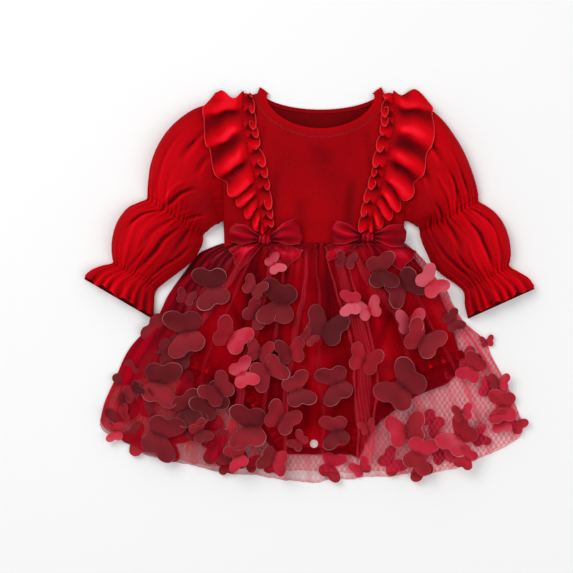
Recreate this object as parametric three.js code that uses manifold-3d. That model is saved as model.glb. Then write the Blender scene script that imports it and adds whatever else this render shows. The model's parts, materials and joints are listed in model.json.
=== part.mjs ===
// A toddler's long-sleeved velvet romper dress with a net overskirt, laid flat on its back.
// Millimetres. X runs across the dress, Y from hem to neck, Z up from the surface that it lies on.
// The tables are in the dress's own frame, with X zero on its middle line and Y zero at the waist seam.
// At the end the whole dress is moved so that the origin is under the middle of its box.
import * as THREE from "three";
import Module from "manifold-3d";
import { mergeVertices } from "three/addons/utils/BufferGeometryUtils.js";

const wasm = await Module();
wasm.setup();

// Driving dimensions
const VELVET = 1.6; // wall of the velvet panels
const NET = 1.1; // wall of the net skirt
const RIBBON = 1.1; // wall of the bow ribbon
const WING = 1.0; // wall of a cloth butterfly
const SEAM = 0.3; // gap left between neighbouring pieces
const BAND_WALL = 2.2; // folded binding at the neck and legs
const WAIST_HALF = 107.8; // half width of the bodice at the waist
const SHOULDER = { x: 113.7, y: 169 }; // where the shoulder seam meets the armhole
const BODY_LOFT = 7.5; // how far the bodice front stands off the back
const ROMPER_LOFT = 7.5; // how far the romper's front stands off its back
const SKIRT_LOFT = 9.5; // how far the front net stands off the back net
const NECK = { x: 8, halfWidth: 76, tipY: 180, frontDrop: 50, backDrop: 24, bandWidth: 10 };
const LEG_BAND_WIDTH = 10;
const SIDE_SEAM_GAP = 0.15; // each panel's share of the gap at the waist

// Layers from the floor up
const BACK_TOP = 1.6; // top of the bodice back
const ROMPER_BACK = { under: NET + SEAM, top: NET + SEAM + VELVET };

const MATERIALS = {
  velvet: new THREE.MeshStandardMaterial({ color: 0xa30a12, roughness: 0.85, metalness: 0 }),
  net: new THREE.MeshStandardMaterial({ color: 0xb0333f, roughness: 0.7, metalness: 0 }),
  ribbon: new THREE.MeshStandardMaterial({ color: 0xc21a2c, roughness: 0.35, metalness: 0 }),
  wing: new THREE.MeshStandardMaterial({ color: 0x8e1f2b, roughness: 0.6, metalness: 0 }),
  snap: new THREE.MeshStandardMaterial({ color: 0xf2dfe0, roughness: 0.3, metalness: 0 }),
};

const dress = new THREE.Group();

// Names the columns of a table once, and gives its rows back as objects.
const table = (columns, rows) =>
  rows.map((row) => Object.fromEntries(columns.map((name, i) => [name, row[i]])));

const { lerp, clamp, degToRad } = THREE.MathUtils;

// A bump that is 1 at the middle and falls to 0 at half its width on each side.
const bump = (distance, halfWidth) => {
  const t = clamp(1 - Math.abs(distance) / halfWidth, 0, 1);
  return t * t * (3 - 2 * t);
};

// Points spread evenly in parameter along a smooth curve through the given [x, y] pairs.
function smoothLine(points, count) {
  const curve = new THREE.SplineCurve(points.map(([x, y]) => new THREE.Vector2(x, y)));
  return curve.getSpacedPoints(count - 1);
}

// The line moved sideways by a distance; positive is to the left of its direction.
function movedLine(line, distance) {
  return line.map((p, i) => {
    const before = line[Math.max(0, i - 1)];
    const after = line[Math.min(line.length - 1, i + 1)];
    const along = after.clone().sub(before).normalize();
    return new THREE.Vector2(p.x - along.y * distance, p.y + along.x * distance);
  });
}

// A closed wall between two grids of points with the same rows and columns.
// Rounds joins the last column to the first, as in a tube.
function wallGeometry(outer, inner, rounds = false) {
  const rows = outer.length;
  const columns = outer[0].length;
  const points = [...outer.flat(), ...inner.flat()];
  const at = (side, row, column) => (side * rows + row) * columns + (column % columns);
  const faces = [];
  const quad = (a, b, c, d) => faces.push(a, b, c, a, c, d);
  const lastColumn = rounds ? columns : columns - 1;
  for (let r = 0; r < rows - 1; r++)
    for (let c = 0; c < lastColumn; c++) {
      quad(at(0, r, c), at(0, r, c + 1), at(0, r + 1, c + 1), at(0, r + 1, c));
      quad(at(1, r, c), at(1, r + 1, c), at(1, r + 1, c + 1), at(1, r, c + 1));
    }
  const last = rows - 1;
  for (let c = 0; c < lastColumn; c++) {
    quad(at(0, 0, c), at(1, 0, c), at(1, 0, c + 1), at(0, 0, c + 1));
    quad(at(0, last, c), at(0, last, c + 1), at(1, last, c + 1), at(1, last, c));
  }
  const end = columns - 1;
  if (!rounds)
    for (let r = 0; r < rows - 1; r++) {
      quad(at(0, r, 0), at(0, r + 1, 0), at(1, r + 1, 0), at(1, r, 0));
      quad(at(0, r, end), at(1, r, end), at(1, r + 1, end), at(0, r + 1, end));
    }
  return outwardGeometry(points, faces);
}

// A geometry from points and triangle corners, turned round if its faces point inwards.
function outwardGeometry(points, faces) {
  let volume = 0;
  for (let i = 0; i < faces.length; i += 3) {
    const [a, b, c] = [points[faces[i]], points[faces[i + 1]], points[faces[i + 2]]];
    volume += a.dot(b.clone().cross(c));
  }
  const index = volume > 0 ? faces : faces.slice().reverse();
  const geometry = new THREE.BufferGeometry();
  const numbers = points.flatMap((p) => [p.x, p.y, p.z]);
  geometry.setAttribute("position", new THREE.Float32BufferAttribute(numbers, 3));
  geometry.setIndex(index);
  return geometry;
}

// A wall under a grid of top points. It is dropped further where the cloth is steep, so it stays as thick.
const STEEPEST = 2.2; // the most that a wall is dropped, in its own thicknesses
function sheetGeometry(top, wall) {
  const under = top.map((row, r) =>
    row.map((p, c) => {
      const left = row[Math.max(0, c - 1)];
      const right = row[Math.min(row.length - 1, c + 1)];
      const up = top[Math.max(0, r - 1)][c];
      const down = top[Math.min(top.length - 1, r + 1)][c];
      const normal = right.clone().sub(left).cross(down.clone().sub(up)).normalize();
      const drop = wall / Math.max(Math.abs(normal.z), 1 / STEEPEST);
      return new THREE.Vector3(p.x, p.y, p.z - drop);
    }),
  );
  return wallGeometry(top, under);
}

// A flat-bottomed sheet: every under point lies at one height.
function levelSheetGeometry(top, underZ) {
  return wallGeometry(top, top.map((row) => row.map((p) => new THREE.Vector3(p.x, p.y, underZ))));
}

function addNode(name, geometry, material) {
  const mesh = new THREE.Mesh(geometry, MATERIALS[material]);
  mesh.name = name;
  dress.add(mesh);
  mesh.updateMatrixWorld();
  return mesh;
}

// The highest point of some meshes at a place and close round it, or the fallback where there is nothing.
const ray = new THREE.Raycaster();
const DOWN = new THREE.Vector3(0, 0, -1);
const UP = new THREE.Vector3(0, 0, 1);
const SEAT_MARGIN = 0.15; // for what lies between the places that are tried
const RAY_START = 200;
function topOf(meshes, x, y, { reachX = 0, reachY = reachX, fallback = 0 } = {}) {
  const steps = reachX ? [-1, -0.5, 0, 0.5, 1] : [0];
  let top = fallback;
  for (const dx of steps)
    for (const dy of steps) {
      ray.set(new THREE.Vector3(x + dx * reachX, y + dy * reachY, RAY_START), DOWN);
      for (const hit of ray.intersectObjects(meshes, false)) top = Math.max(top, hit.point.z);
    }
  return top;
}

// Whether a place in the plane lies inside a box.
const inPlan = (box, p) => p.x >= box.min.x && p.x <= box.max.x && p.y >= box.min.y && p.y <= box.max.y;

// Moves a piece straight down or up until it lies a seam's gap above the pieces that carry it.
const SEAT_STEPS = 5; // how finely each face is tried
function seated(geometry, carriers) {
  const piece = new THREE.Mesh(geometry, MATERIALS.velvet);
  const reach = new THREE.Box3().setFromObject(piece);
  const near = carriers.filter((mesh) => {
    const { min, max } = new THREE.Box3().setFromObject(mesh);
    const beside = min.x > reach.max.x || max.x < reach.min.x;
    return !beside && min.y < reach.max.y && max.y > reach.min.y;
  });
  let gap = Infinity;
  const points = geometry.getAttribute("position");
  const corners = geometry.index;
  const corner = (i) => new THREE.Vector3().fromBufferAttribute(points, corners.getX(i));
  for (let i = 0; i < corners.count; i += 3) {
    const [a, b, c] = [corner(i), corner(i + 1), corner(i + 2)];
    const facesUp = b.clone().sub(a).cross(c.clone().sub(a)).z > 0;
    if (facesUp) continue;
    for (let ofB = 0; ofB <= SEAT_STEPS; ofB++)
      for (let ofC = 0; ofC <= SEAT_STEPS - ofB; ofC++) {
        const at = a.clone().lerp(b, ofB / SEAT_STEPS).addScaledVector(c.clone().sub(a), ofC / SEAT_STEPS);
        gap = Math.min(gap, at.z - topOf(near, at.x, at.y));
      }
  }
  for (const mesh of near) {
    const peaks = mesh.geometry.getAttribute("position");
    for (let i = 0; i < peaks.count; i++) {
      const peak = new THREE.Vector3().fromBufferAttribute(peaks, i).applyMatrix4(mesh.matrixWorld);
      if (!inPlan(reach, peak)) continue;
      ray.set(new THREE.Vector3(peak.x, peak.y, -RAY_START), UP);
      const [hit] = ray.intersectObject(piece, false);
      if (hit) gap = Math.min(gap, hit.point.z - peak.z);
    }
  }
  return geometry.translate(0, 0, SEAM + SEAT_MARGIN - gap);
}

// A grid of points between a lower and an upper line with the same number of points.
// shape(across, along, column) gives [sideways, height] for each point, both shares from 0 to 1.
function panelGrid(lower, upper, rows, shape) {
  return Array.from({ length: rows + 1 }, (_, r) => {
    const along = r / rows;
    return lower.map((p, c) => {
      const across = c / (lower.length - 1);
      const [sideways, height] = shape(across, along, c);
      const middle = p.clone().lerp(upper[c], along);
      return new THREE.Vector3(middle.x + sideways, middle.y, height);
    });
  });
}

// The neck seam from the wearer's right shoulder to the left one, as seen from above.
const NECK_COLUMNS = 14;
const NECK_ROUNDNESS = 1.15;
const neckPoint = (share, drop) => {
  const angle = Math.PI * share;
  return new THREE.Vector2(
    NECK.x - NECK.halfWidth * Math.cos(angle),
    NECK.tipY - drop * Math.sin(angle) ** NECK_ROUNDNESS,
  );
};
const neckLine = (drop) =>
  Array.from({ length: NECK_COLUMNS + 1 }, (_, i) => neckPoint(i / NECK_COLUMNS, drop));

// Bodice panels: the waist below, the shoulders and the neck above
const SHOULDER_COLUMNS = 3;
const BODICE_ROWS = { front: 8, back: 3 };
function bodiceLines(drop) {
  const neck = neckLine(drop);
  const shoulder = (side) =>
    Array.from({ length: SHOULDER_COLUMNS }, (_, i) => {
      const share = i / SHOULDER_COLUMNS;
      const tip = side < 0 ? neck[0] : neck.at(-1);
      return new THREE.Vector2(lerp(side * SHOULDER.x, tip.x, share), lerp(SHOULDER.y, tip.y, share));
    });
  const upper = [...shoulder(-1), ...neck, ...shoulder(1).reverse()];
  const lower = upper.map((_, i) => {
    const share = i / (upper.length - 1);
    return new THREE.Vector2(lerp(-WAIST_HALF, WAIST_HALF, share), SIDE_SEAM_GAP);
  });
  return { lower, upper };
}

// An arch over shares from 0 to 1: 0 at both ends and 1 in the middle, and flatter on top for a small power.
const arch = (share, power) => Math.sin(Math.PI * clamp(share, 0, 1)) ** power;
// How open the neck edge is at a column: 0 on the shoulders, 1 at the front of the neck.
const neckOpenness = (column) => arch((column - SHOULDER_COLUMNS) / NECK_COLUMNS, 0.6);
// How far the body's front is lifted at a share across it: 0 at the side seams.
const sideLift = (across) => arch(across, 0.45);
const ARMHOLE = { lift: 0.85, start: 0.12 }; // how open it is, and the share of the side below it

const FRONT_EDGE_TOP = BACK_TOP + SEAM + VELVET; // top of a front panel where it meets the back

function bodiceFront() {
  const { lower, upper } = bodiceLines(NECK.frontDrop);
  const grid = panelGrid(lower, upper, BODICE_ROWS.front, (across, along, column) => {
    const towardsTop = along ** 3;
    const armhole = ARMHOLE.lift * arch(along * (1 + ARMHOLE.start) - ARMHOLE.start, 0.5);
    const side = Math.max(sideLift(across), armhole);
    const lift = lerp(side, sideLift(across) * neckOpenness(column), towardsTop);
    return [0, FRONT_EDGE_TOP + BODY_LOFT * lift];
  });
  addNode("bodice_front", sheetGeometry(grid, VELVET), "velvet");
  return grid.at(-1).slice(SHOULDER_COLUMNS, SHOULDER_COLUMNS + NECK_COLUMNS + 1);
}

function bodiceBack() {
  const { lower, upper } = bodiceLines(NECK.backDrop);
  const grid = panelGrid(lower, upper, BODICE_ROWS.back, () => [0, BACK_TOP]);
  addNode("bodice_back", levelSheetGeometry(grid, 0), "velvet");
}

// A folded band that follows a list of stations. Each has a point on the seam at the band's inner face,
// the way across to the free edge, and the way and distance from the inner face to the outer one.
const BAND_PROFILE = table(["share", "rise"], [
  [0, 0.15],
  [0.5, 0],
  [1, 0.25],
  [1, 0.75],
  [0.5, 1],
  [0, 0.85],
]);
function bandGeometry(stations, width, closed) {
  const sections = stations.map(({ seam, across, outwards }) =>
    BAND_PROFILE.map(({ share, rise }) =>
      seam
        .clone()
        .addScaledVector(across, width * share)
        .addScaledVector(outwards, rise),
    ),
  );
  return sweptGeometry(sections, closed);
}

const flatPoint = (p, z) => new THREE.Vector3(p.x, p.y, z);
const upBy = (thick) => new THREE.Vector3(0, 0, thick);

// A solid through sections with the same number of points, closed on itself or capped at both ends.
function sweptGeometry(sections, closed) {
  const sides = sections[0].length;
  const count = sections.length;
  const points = sections.flat();
  const faces = [];
  const at = (s, i) => (s % count) * sides + (i % sides);
  for (let s = 0; s < (closed ? count : count - 1); s++)
    for (let i = 0; i < sides; i++)
      faces.push(at(s, i), at(s + 1, i), at(s + 1, i + 1), at(s, i), at(s + 1, i + 1), at(s, i + 1));
  if (!closed)
    for (let i = 1; i < sides - 1; i++) {
      faces.push(at(0, 0), at(0, i), at(0, i + 1));
      faces.push(at(count - 1, 0), at(count - 1, i + 1), at(count - 1, i));
    }
  return outwardGeometry(points, faces);
}

// Unit vectors square to a line, pointing to its left.
const leftOf = (line) => movedLine(line, 1).map((p, i) => p.clone().sub(line[i]));

// The binding runs round the front of the neck, turns over each shoulder and comes back round behind.
const NECK_FOLD = { above: 6, out: 1.5, slant: 0.15 }; // the turn's place from the shoulder, and its slant
function neckBinding(frontEdge) {
  const front = neckLine(NECK.frontDrop);
  const back = neckLine(NECK.backDrop).slice(1, -1);
  const frontAcross = leftOf(front);
  const backAcross = leftOf(neckLine(NECK.backDrop)).slice(1, -1);
  const stations = front.map((p, i) => ({
    seam: flatPoint(p.clone().addScaledVector(frontAcross[i], SEAM), frontEdge[i].z - VELVET),
    across: flatPoint(frontAcross[i], 0),
    outwards: upBy(BAND_WALL),
  }));
  const fold = (side) => {
    const tip = neckPoint(side < 0 ? 0 : 1, 0);
    return {
      seam: new THREE.Vector3(tip.x - side * NECK_FOLD.out, tip.y + NECK_FOLD.above, BACK_TOP + SEAM / 2),
      across: new THREE.Vector3(-side, NECK_FOLD.slant, 0).normalize(),
      outwards: new THREE.Vector3(0, BAND_WALL, 0),
    };
  };
  const behind = back.map((p, i) => ({
    seam: flatPoint(p.clone().addScaledVector(backAcross[i], SEAM), BACK_TOP),
    across: flatPoint(backAcross[i], 0),
    outwards: upBy(-BACK_TOP),
  }));
  const ring = [...stations, fold(1), ...behind.reverse(), fold(-1)];
  addNode("neck_binding", bandGeometry(ring, NECK.bandWidth, true), "velvet");
}

// Sleeves. One row for each cross-section from the armhole to the cuff: the outer and the inner edge
// of the flattened tube, its height, and how deep the gathers are there.
const SLEEVE_COLUMNS = ["outerX", "outerY", "innerX", "innerY", "height", "gather"];
const SLEEVES = {
  left: table(SLEEVE_COLUMNS, [
    [-114.6, 169, -110.4, 26, 10, 0],
    [-139, 163, -112, 25, 23, 0.5],
    [-158, 152, -114, 23, 31, 0.3],
    [-175, 136, -118, 22, 35, 0],
    [-188, 116, -121, 20, 35, 0.2],
    [-196, 95, -125, 17, 31, 0.8],
    [-199, 75, -128, 14, 23, 1.6],
    [-200, 61, -131, 12, 16, 2],
    [-201, 53, -133, 9, 13, 1.2],
    [-210, 49, -133, 5, 18, 2],
    [-224, 42, -134, -2, 26, 1.4],
    [-236, 26, -138, -10, 32, 0.6],
    [-242, 7, -144, -20, 33, 0.3],
    [-243, -8, -158, -32, 27, 1.2],
    [-242, -18, -177, -46, 17, 2],
    [-242, -24, -187, -54, 12, 1.2],
    [-254, -27, -191, -62, 13, 1.8],
    [-266, -32, -192, -72, 16, 2],
    [-275, -40, -193, -88, 19, 1.6],
  ]),
  right: table(SLEEVE_COLUMNS, [
    [114.6, 169, 110.4, 26, 10, 0],
    [138, 161, 113, 26, 23, 0.5],
    [155, 147, 116, 24, 31, 0.3],
    [169, 128, 120, 22, 35, 0],
    [180, 109, 122, 20, 35, 0.2],
    [188, 90, 125, 19, 31, 0.8],
    [194, 72, 126, 17, 23, 1.6],
    [197, 58, 127, 15, 16, 2],
    [198, 50, 127, 12, 13, 1.2],
    [206, 45, 128, 6, 18, 2],
    [218, 36, 131, -3, 26, 1.4],
    [228, 22, 136, -14, 32, 0.6],
    [234, 5, 143, -28, 33, 0.3],
    [236, -11, 156, -40, 27, 1.2],
    [235, -22, 171, -50, 17, 2],
    [235, -28, 179, -57, 12, 1.2],
    [246, -35, 181, -65, 13, 1.8],
    [257, -42, 181, -74, 16, 2],
    [264, -52, 184, -88, 19, 1.6],
  ]),
};

// The largest creases that run along a sleeve: from and to in rows, each with its share across the top.
const CREASE_COLUMNS = ["fromRow", "fromShare", "toRow", "toShare", "halfWidth", "depth"];
const SLEEVE_CREASES = {
  left: table(CREASE_COLUMNS, [
    [3, 0.62, 7.5, 0.3, 0.1, 4],
    [4.5, 0.85, 7.5, 0.62, 0.08, 3],
    [8.5, 0.3, 11.5, 0.12, 0.08, 3.5],
    [9.5, 0.62, 14.5, 0.45, 0.09, 3.5],
    [11, 0.9, 14.5, 0.7, 0.08, 3],
  ]),
  right: table(CREASE_COLUMNS, [
    [4, 0.3, 7.5, 0.35, 0.08, 3],
    [4.5, 0.66, 7.5, 0.6, 0.09, 3],
    [8.5, 0.35, 14.5, 0.3, 0.09, 4],
    [9.5, 0.12, 14.5, 0.16, 0.07, 3],
    [10, 0.85, 14.5, 0.7, 0.08, 3],
  ]),
};

const SLEEVE_TOP_COLUMNS = 24; // a gather stands on every other one
const SLEEVE_UNDER_COLUMNS = 7;
const SLEEVE_EDGE = { share: 0.35, highest: 7 }; // how high the tube's side lies, as a share of its height
const SLEEVE_FULLNESS = 0.8; // the arch's power: smaller is squarer

// The flattened tube's profile at an angle: the share across from the outer edge, and the height.
function sleeveProfile(angle, height) {
  const edge = Math.min(SLEEVE_EDGE.share * height, SLEEVE_EDGE.highest);
  const rise = Math.sin(angle);
  const across = (1 - Math.cos(angle)) / 2;
  if (rise >= 0) return [across, edge + (height - edge) * rise ** SLEEVE_FULLNESS];
  return [across, edge * Math.max(0, 1 + 2 * rise) ** 2];
}

function creaseDepth(creases, row, share) {
  let depth = 0;
  for (const crease of creases) {
    const along = (row - crease.fromRow) / (crease.toRow - crease.fromRow);
    if (along < 0 || along > 1) continue;
    const middle = lerp(crease.fromShare, crease.toShare, along);
    depth += crease.depth * arch(along, 0.7) * bump(share - middle, crease.halfWidth);
  }
  return depth;
}

function sleeve(side) {
  const underStep = Math.PI / (SLEEVE_UNDER_COLUMNS + 1);
  const angles = [
    ...Array.from({ length: SLEEVE_TOP_COLUMNS + 1 }, (_, i) => (Math.PI * i) / SLEEVE_TOP_COLUMNS),
    ...Array.from({ length: SLEEVE_UNDER_COLUMNS }, (_, i) => Math.PI + underStep * (i + 1)),
  ];
  const outer = [];
  const inner = [];
  SLEEVES[side].forEach((row, r) => {
    const start = new THREE.Vector2(row.outerX, row.outerY);
    const across = new THREE.Vector2(row.innerX, row.innerY).sub(start);
    const width = across.length();
    const plain = angles.map((angle) => {
      const [share, height] = sleeveProfile(angle, row.height);
      const onTop = angle > 0 && angle < Math.PI;
      const dip = onTop ? creaseDepth(SLEEVE_CREASES[side], r, share) : 0;
      return new THREE.Vector2(share * width, height - dip);
    });
    const outwards = plain.map((_, i) => {
      const before = plain.at(i - 1);
      const after = plain[(i + 1) % plain.length];
      return new THREE.Vector2(before.y - after.y, after.x - before.x).normalize();
    });
    const place = (p) => flatPoint(start.clone().addScaledVector(across, p.x / width), p.y);
    outer.push(
      plain.map((p, i) => {
        const gathered = i % 2 === 1 && i < SLEEVE_TOP_COLUMNS ? row.gather : 0;
        return place(p.clone().addScaledVector(outwards[i], gathered));
      }),
    );
    inner.push(plain.map((p, i) => place(p.clone().addScaledVector(outwards[i], -VELVET))));
  });
  return addNode(`sleeve_${side}`, wallGeometry(outer, inner, true), "velvet");
}

// Romper bottom. The leg lines run from the side of the hip to the crotch and follow the band's free edge.
const LEG_EDGES = {
  frontLeft: [
    [-161, -145],
    [-128, -157],
    [-96, -175],
    [-76, -195],
    [-58, -221],
    [-40, -250],
  ],
  frontRight: [
    [176, -139],
    [150, -146],
    [122, -159],
    [94, -175],
    [70, -197],
    [58, -221],
    [48, -250],
  ],
  backLeft: [
    [-161, -148],
    [-146, -172],
    [-112, -192],
    [-82, -212],
    [-61, -232],
    [-44, -259],
  ],
  backRight: [
    [176, -142],
    [164, -166],
    [128, -182],
    [96, -202],
    [73, -222],
    [54, -259],
  ],
};
const LEG_COLUMNS = { front: 12, back: 8 };
const CROTCH_COLUMNS = 4;
const ROMPER_ROWS = { front: 9, back: 3 };
const ROMPER_HALF = 105.5;
const ROMPER_BULGE = { left: 18, right: 12 };

// The romper's lower line and the two leg seams in it. Each seam lies a band's width inside its edge.
function romperLower(layer) {
  const count = LEG_COLUMNS[layer] + 1;
  const seam = {
    left: movedLine(smoothLine(LEG_EDGES[`${layer}Left`], count), LEG_BAND_WIDTH),
    right: movedLine(smoothLine(LEG_EDGES[`${layer}Right`], count), -LEG_BAND_WIDTH),
  };
  const [from, to] = [seam.left.at(-1), seam.right.at(-1)];
  const crotch = Array.from({ length: CROTCH_COLUMNS - 1 }, (_, i) =>
    from.clone().lerp(to, (i + 1) / CROTCH_COLUMNS),
  );
  return { line: [...seam.left, ...crotch, ...seam.right.slice().reverse()], seam };
}

function romperGrid(layer, rows, heightAt) {
  const { line, seam } = romperLower(layer);
  const upper = line.map((_, i) => {
    const share = i / (line.length - 1);
    return new THREE.Vector2(lerp(-ROMPER_HALF, ROMPER_HALF, share), -SIDE_SEAM_GAP);
  });
  const grid = panelGrid(line, upper, rows, (across, along, column) => {
    const side = 2 * across - 1;
    const bulge = side < 0 ? ROMPER_BULGE.left : ROMPER_BULGE.right;
    const sideways = Math.sign(side) * side * side * bulge * Math.sin(Math.PI * along);
    return [sideways, heightAt(across, along, column)];
  });
  return { grid, seam };
}

const ROMPER_EDGE_TOP = ROMPER_BACK.top + SEAM + VELVET;
const LEG_LIFT_REACH = 0.4; // how far up the romper the open leg edge still shapes it

function romperFront() {
  const legs = LEG_COLUMNS.front;
  const columns = 2 * legs + CROTCH_COLUMNS;
  const { grid, seam } = romperGrid("front", ROMPER_ROWS.front, (across, along, column) => {
    const openLeg = arch(Math.min(column, columns - column) / legs, 0.7);
    const lift = lerp(openLeg, sideLift(across), Math.min(1, along / LEG_LIFT_REACH) ** 0.8);
    return ROMPER_EDGE_TOP + ROMPER_LOFT * lift;
  });
  const mesh = addNode("romper_front", sheetGeometry(grid, VELVET), "velvet");
  const edge = grid[0];
  return { mesh, seam, heights: { left: edge.slice(0, legs + 1), right: edge.slice(-legs - 1).reverse() } };
}

function romperBack() {
  const { grid, seam } = romperGrid("back", ROMPER_ROWS.back, () => ROMPER_BACK.top);
  const mesh = addNode("romper_back", levelSheetGeometry(grid, ROMPER_BACK.under), "velvet");
  return { mesh, seam };
}

// Each leg band runs along the front leg edge, turns over at the hip and comes back along the back edge.
const LEG_GATHER = 0.9; // how far the elastic's gathers stand out
const HIP_TURN = { out: 3, slant: 0.35 }; // the turn's place from the hip, and its slant
function legBand(side, front, back) {
  const outwards = side === "left" ? -1 : 1;
  const stationsAlong = (line, heightAt, thickAt) => {
    const across = leftOf(line).map((v) => v.multiplyScalar(outwards));
    return line.map((p, i) => ({
      seam: flatPoint(p.clone().addScaledVector(across[i], SEAM), heightAt(i)),
      across: flatPoint(across[i], 0),
      outwards: upBy(thickAt(i)),
    }));
  };
  const frontStations = stationsAlong(
    front.seam[side],
    (i) => front.heights[side][i].z - VELVET,
    (i) => BAND_WALL + (i % 2) * LEG_GATHER,
  );
  const backStations = stationsAlong(back.seam[side], () => ROMPER_BACK.top, () => -VELVET);
  const hip = front.seam[side][0];
  const turn = {
    seam: new THREE.Vector3(hip.x + outwards * HIP_TURN.out, hip.y, ROMPER_BACK.top + SEAM / 2),
    across: new THREE.Vector3(outwards * HIP_TURN.slant, -1, 0).normalize(),
    outwards: new THREE.Vector3(outwards * BAND_WALL, 0, 0),
  };
  const stations = [...frontStations.reverse(), turn, ...backStations];
  return addNode(`leg_band_${side}`, bandGeometry(stations, LEG_BAND_WIDTH - SEAM, false), "velvet");
}

// Points inside a patch with four curved sides. Top and bottom run from left to right, the sides down.
function patchGrid({ top, bottom, left, right }) {
  const rows = left.length - 1;
  const columns = top.length - 1;
  return left.map((_, r) => {
    const v = r / rows;
    return top.map((_, c) => {
      const u = c / columns;
      const ruled = (key) =>
        lerp(top[c][key], bottom[c][key], v) +
        lerp(left[r][key], right[r][key], u) -
        lerp(lerp(top[0][key], top[columns][key], u), lerp(bottom[0][key], bottom[columns][key], u), v);
      return new THREE.Vector2(ruled("x"), ruled("y"));
    });
  });
}

// A wall of even thickness under a grid of points, set off square to the cloth.
function thickGeometry(top, wall) {
  const under = top.map((row, r) =>
    row.map((p, c) => {
      const left = row[Math.max(0, c - 1)];
      const right = row[Math.min(row.length - 1, c + 1)];
      const up = top[Math.max(0, r - 1)][c];
      const down = top[Math.min(top.length - 1, r + 1)][c];
      const normal = right.clone().sub(left).cross(down.clone().sub(up)).normalize();
      if (normal.z < 0) normal.negate();
      return p.clone().addScaledVector(normal, -wall);
    }),
  );
  return wallGeometry(top, under);
}

// Net skirt. Its sides run from the waist down, and the hem from left to right.
const SKIRT_SIDES = {
  left: [
    [-110, -0.15],
    [-137, -12],
    [-155, -34],
    [-175, -62],
    [-190, -91],
    [-222, -127],
    [-239, -163],
    [-252, -192],
    [-258, -218],
  ],
  right: [
    [110, -0.15],
    [124, -12],
    [137, -26],
    [146, -41],
    [160, -57],
    [167, -73],
    [181, -95],
    [206, -117],
    [214, -136],
    [232, -170],
    [246, -203],
    [253, -221],
  ],
};
const BACK_HEM = [
  [-258, -218],
  [-251, -228],
  [-224, -242],
  [-194, -257],
  [-132, -271],
  [-89, -278],
  [-4, -287],
  [83, -280],
  [144, -277],
  [188, -264],
  [221, -250],
  [246, -235],
  [253, -221],
];
const HEM_SETBACK = { y: 14, shareOfX: 0.985 }; // how far the front hem lies inside the back one
const FRONT_SIDE_SHARE = 0.96; // how far down the sides the front hem begins
const NET_FOLDS = 23;
const FOLD_DEPTH = { waist: 2.2, hem: 4.2 };
const NET_ROWS = 10;
const NET_UNDER = NET + SEAM; // lowest place of the front net, on the back one
const BACK_NET = { columns: 24, rows: 6 };
const NET_REACH = { reachX: 6, reachY: 16, fallback: NET }; // how far off the net feels what is under it
const NET_SAG = 1.5; // how far the net sags below a high place in the next row
const LOFT = { fullAt: 0.25, hemShare: 0.8 }; // where the net reaches its full loft, and what the hem keeps

function skirtBack() {
  const { columns, rows } = BACK_NET;
  const grid = patchGrid({
    top: smoothLine([SKIRT_SIDES.left[0], SKIRT_SIDES.right[0]], columns + 1),
    bottom: smoothLine(BACK_HEM, columns + 1),
    left: smoothLine(SKIRT_SIDES.left, rows + 1),
    right: smoothLine(SKIRT_SIDES.right, rows + 1),
  }).map((row) => row.map((p) => new THREE.Vector3(p.x, p.y, NET)));
  return addNode("skirt_back", levelSheetGeometry(grid, 0), "net");
}

// A side of the skirt down to a share of its length.
function sideDownTo(points, share, count) {
  const curve = new THREE.SplineCurve(points.map(([x, y]) => new THREE.Vector2(x, y)));
  return Array.from({ length: count }, (_, i) => curve.getPointAt((share * i) / (count - 1)));
}

function skirtFront(supports) {
  const columns = 2 * NET_FOLDS;
  const left = sideDownTo(SKIRT_SIDES.left, FRONT_SIDE_SHARE, NET_ROWS + 1);
  const right = sideDownTo(SKIRT_SIDES.right, FRONT_SIDE_SHARE, NET_ROWS + 1);
  const hem = BACK_HEM.slice(1, -1).map(([x, y]) => [x * HEM_SETBACK.shareOfX, y + HEM_SETBACK.y]);
  const ends = [left.at(-1).toArray(), right.at(-1).toArray()];
  const flat = patchGrid({
    top: smoothLine([SKIRT_SIDES.left[0], SKIRT_SIDES.right[0]], columns + 1),
    bottom: smoothLine([ends[0], ...hem, ends[1]], columns + 1),
    left,
    right,
  });
  const carried = flat.map((row) => row.map((p) => topOf(supports, p.x, p.y, NET_REACH)));
  const grid = flat.map((row, r) => {
    const down = r / NET_ROWS;
    return row.map((p, c) => {
      const across = c / columns;
      const near = Math.max(
        carried[r][c],
        carried[Math.max(0, r - 1)][c] - NET_SAG,
        carried[Math.min(NET_ROWS, r + 1)][c] - NET_SAG,
      );
      const edge = arch(across, 0.5);
      const loft = SKIRT_LOFT * edge * Math.min(1, down / LOFT.fullAt) * lerp(1, LOFT.hemShare, down);
      const base = Math.max(near + 2 * SEAM, NET_UNDER + loft) + NET;
      const uneven = 0.75 + 0.35 * Math.sin(c * 1.9) + 0.25 * Math.sin(c * 0.7 + 1);
      const depth = lerp(FOLD_DEPTH.waist, FOLD_DEPTH.hem, down ** 0.7) * uneven * edge;
      const crest = c % 2 === 1 ? depth : 0;
      return new THREE.Vector3(p.x, p.y, base + crest);
    });
  });
  return addNode("skirt_front", sheetGeometry(grid, NET), "net");
}

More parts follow.
